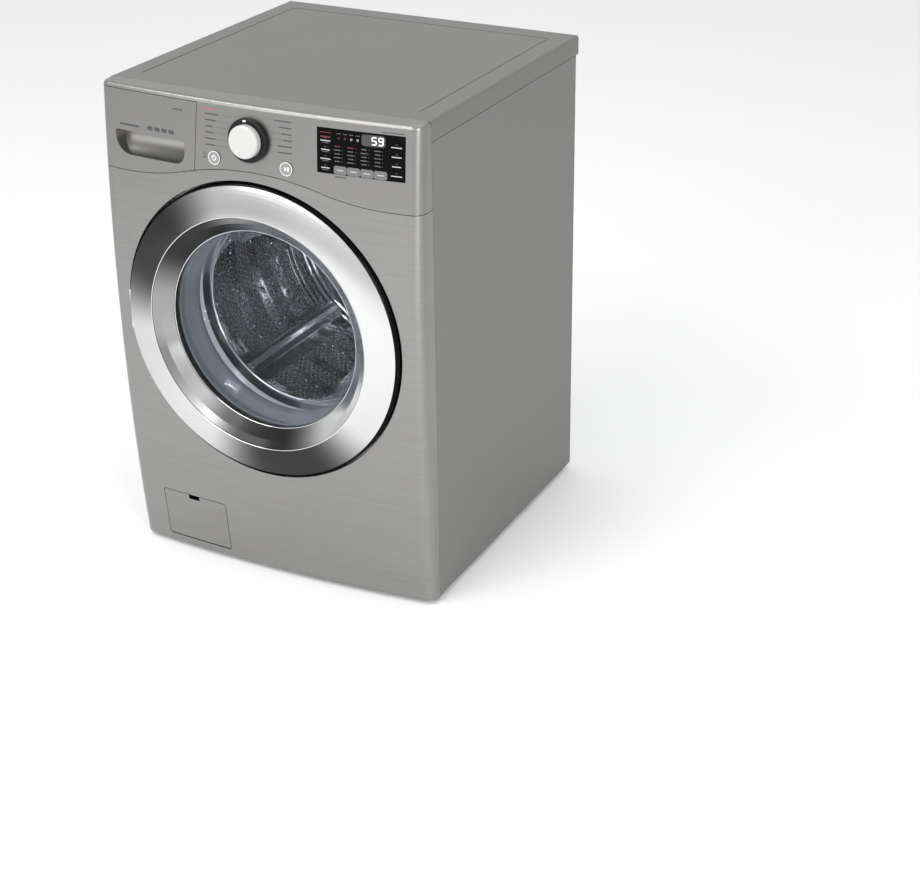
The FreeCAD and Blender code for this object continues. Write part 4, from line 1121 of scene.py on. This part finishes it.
@dataclass
class DoorTrim:
    """Bright beads on the ridge of the door's ring and round the glass."""

    finishes: dict[str, bpy.types.Material]
    axis_height: float
    ridge: tuple[float, float, float] = (0.2365, -0.3775, 0.0009)
    edge: tuple[float, float, float] = (0.2016, -0.3492, 0.0010)

    def build(self) -> None:
        """Makes both beads in one piece."""
        shape = Shape()
        for reach, y, wire in (self.ridge, self.edge):
            points = [(math.tau * index / 10) for index in range(10)]
            section = [(reach + wire * math.cos(angle), y + wire * math.sin(angle)) for angle in points]
            shape.spun(section, self.axis_height, 160)
        made = shape.finish("door_beads", "bright_chrome", self.finishes["plain_chrome"])
        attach(made, "door")


@dataclass
class DoorSeal:
    """Folded rubber seal between the cabinet's mouth and the tub's lip."""

    finishes: dict[str, bpy.types.Material]
    axis_height: float
    thick: float = 0.003
    grip: tuple[tuple[float, float], ...] = (
        (0.2172, -0.3270), (0.2172, -0.3120), (0.2155, -0.3088), (0.2115, -0.3088), (0.2096, -0.3120),
        (0.2096, -0.3255), (0.2060, -0.3292), (0.2020, -0.3308),
    )
    fold: tuple[tuple[float, float], ...] = (
        (0.2135, -0.3092), (0.2135, -0.3000), (0.2090, -0.2940), (0.2030, -0.2912), (0.1992, -0.2880),
        (0.1978, -0.2810), (0.1978, -0.2740), (0.2000, -0.2680), (0.2040, -0.2646), (0.2085, -0.2626),
        (0.2150, -0.2622), (0.2210, -0.2612), (0.2223, -0.2570), (0.2223, -0.2405),
    )

    def build(self) -> None:
        """Makes the seal, with its fold between the cabinet and the tub."""
        shape = Shape()
        shape.spun(list(self.grip), self.axis_height, 128, closed=False)
        shape.spun(list(self.fold), self.axis_height, 128, closed=False)
        made = shape.finish("seal_folds", "grey_rubber", self.finishes["bellows_rubber"])
        wall = made.modifiers.new("wall", "SOLIDIFY")
        wall.thickness, wall.offset = self.thick, 0.0
        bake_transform(made)
        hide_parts("bellows")


@dataclass
class TubSuspension:
    """Coil springs that carry the tub, in place of the plain sleeves."""

    finishes: dict[str, bpy.types.Material]
    wire: float = 0.0022
    turns: float = 13.0

    def build(self) -> None:
        """Makes the coils in place of the plain sleeves."""
        low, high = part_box("suspension_springs")
        shape = Shape()
        reach = SPRING_REACH - self.wire
        for side in (-1, 1):
            for y in (low[1] + SPRING_REACH, high[1] - SPRING_REACH):
                x = (high[0] - SPRING_REACH) * side
                foot = Vector((x, y, low[2] + self.wire))
                shape.coil(foot, reach, self.wire, high[2] - low[2] - 2 * self.wire, self.turns)
        coils = shape.finish("spring_coils", "zinc_steel", self.finishes["zinc_steel"])
        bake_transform(coils)
        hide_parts("suspension_springs")


@dataclass
class TubHoses:
    """Rubber hoses between the cabinet and the floating tub."""

    finishes: dict[str, bpy.types.Material]
    fixed: tuple[float, float] = (0.838, 0.176)
    carried: tuple[float, float] = (0.802, 0.226)
    long_edge: float = 0.02
    cuts: int = 5

    def build(self) -> None:
        """Makes both hoses over the carried ones, with their upright edges cut into shorter ones."""
        for node, fixed, carried in zip(("fill_hose", "sump_hose"), self.fixed, self.carried):
            shape = Shape()
            shape.bm.from_mesh(frame["nodes"][node].data)
            bmesh.ops.remove_doubles(shape.bm, verts=shape.bm.verts[:], dist=0.00001)
            rises = {edge: abs(edge.verts[0].co.z - edge.verts[1].co.z) for edge in shape.bm.edges}
            upright = [edge for edge, rise in rises.items() if rise > self.long_edge]
            bmesh.ops.subdivide_edges(shape.bm, edges=upright, cuts=self.cuts)
            made = shape.finish(f"{node}_sleeve", "black_rubber", self.finishes["black_rubber"])
            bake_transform(made)
            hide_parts(node)


@dataclass
class Studio:
    """Floor, soft lights and the camera."""

    place: RGB = (1.8333, -3.1289, 1.9705)
    look: RGB = (-0.3837, 0.8130, -0.4379)
    lens: float = 73.74
    shift: tuple[float, float] = (-0.0557, -0.0335)

    def build(self) -> None:
        """Makes the floor, the lights, the sky and the camera."""
        self.floor()
        self.sky()
        self.panel("key_light", (-1.0, -4.0, 2.4), (0, 0, 0.4), 3.0, 1.8, 70.0)
        self.panel("lip_light", (-1.25, -1.75, 3.3), (0, -0.3, 0.95), 2.6, 0.5, 34.0)
        self.panel("top_light", (0.3, 0.6, 3.6), (0, 0, 0.9), 3.0, 2.4, 18.0)
        self.panel("side_light", (2.6, -2.4, 1.5), (0, 0, 0.5), 0.7, 2.2, 40.0)
        self.panel("drum_light", (0.06, -0.19, 0.72), (-0.1, 0.2, 0.42), 0.10, 0.02, 1.1)
        self.panel("drum_rim_light", (0.17, -0.16, 0.50), (-0.25, 0.1, 0.5), 0.015, 0.16, 0.5)
        self.camera()

    def floor(self) -> None:
        """Pale floor."""
        shape = Shape()
        made = bmesh.ops.create_grid(shape.bm, x_segments=4, y_segments=4, size=14.0)["verts"]
        bmesh.ops.translate(shape.bm, vec=(0.0, 0.0, -0.0004), verts=made)
        graph = Graph("floor_pale")
        tone = graph.noise(graph.place(), 3.0, 3.0)
        shade = graph.blend(tone, (0.90, 0.90, 0.90), (0.92, 0.92, 0.92))
        material = graph.dress(Base_Color=shade, Roughness=0.7)
        mesh = bpy.data.meshes.new("floor")
        bmesh.ops.recalc_face_normals(shape.bm, faces=shape.bm.faces[:])
        shape.bm.to_mesh(mesh)
        shape.bm.free()
        mesh.materials.append(material)
        floor = bpy.data.objects.new("floor", mesh)
        bpy.context.scene.collection.objects.link(floor)

    def sky(self) -> None:
        """Even pale surroundings."""
        world = bpy.data.worlds.new("studio")
        bpy.context.scene.world = world
        world.use_nodes = True
        back = world.node_tree.nodes["Background"]
        back.inputs["Color"].default_value = (0.97, 0.975, 0.98, 1.0)
        back.inputs["Strength"].default_value = 0.88

    def panel(self, name: str, place: RGB, target: RGB, width: float, height: float, power: float) -> None:
        """Adds a soft light panel.

        Args:
            name: The light's name.
            place: Where it stands.
            target: What it faces.
            width: Its width.
            height: Its height.
            power: Its power in watts.
        """
        data = bpy.data.lights.new(name, "AREA")
        data.shape, data.size, data.size_y, data.energy = "RECTANGLE", width, height, power
        lamp = bpy.data.objects.new(name, data)
        lamp.location = place
        lamp.visible_camera = False
        lamp.rotation_euler = (Vector(target) - Vector(place)).to_track_quat("-Z", "Y").to_euler()
        bpy.context.scene.collection.objects.link(lamp)

    def camera(self) -> None:
        """Camera above and to the right of the front."""
        data = bpy.data.cameras.new("camera")
        data.sensor_width, data.lens = 36.0, self.lens
        data.shift_x, data.shift_y = self.shift
        camera = bpy.data.objects.new("camera", data)
        camera.location = self.place
        camera.rotation_euler = Vector(self.look).to_track_quat("-Z", "Y").to_euler()
        bpy.context.scene.collection.objects.link(camera)
        bpy.context.scene.camera = camera
        bpy.context.scene.view_settings.view_transform = "Standard"


def main() -> None:
    """Builds the machine's looks in order."""
    logging.basicConfig(level=logging.INFO, format="%(name)s: %(message)s")
    axis_height = sum(corner[2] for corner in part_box("drum_shell")) / 2
    knob_height = sum(corner[2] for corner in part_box("knob_skirt")) / 2
    finishes = Finishes(axis_height).build()
    CarriedNodes(finishes).dress()
    parts = (
        Studio(),
        ControlArea(finishes, knob_height),
        DrumFittings(finishes, axis_height),
        DoorTrim(finishes, axis_height),
        DoorSeal(finishes, axis_height),
        TubSuspension(finishes),
        TubHoses(finishes),
    )
    for part in parts:
        part.build()
        LOG.info("built %s", type(part).__name__)


if __name__ == "__main__":
    main()
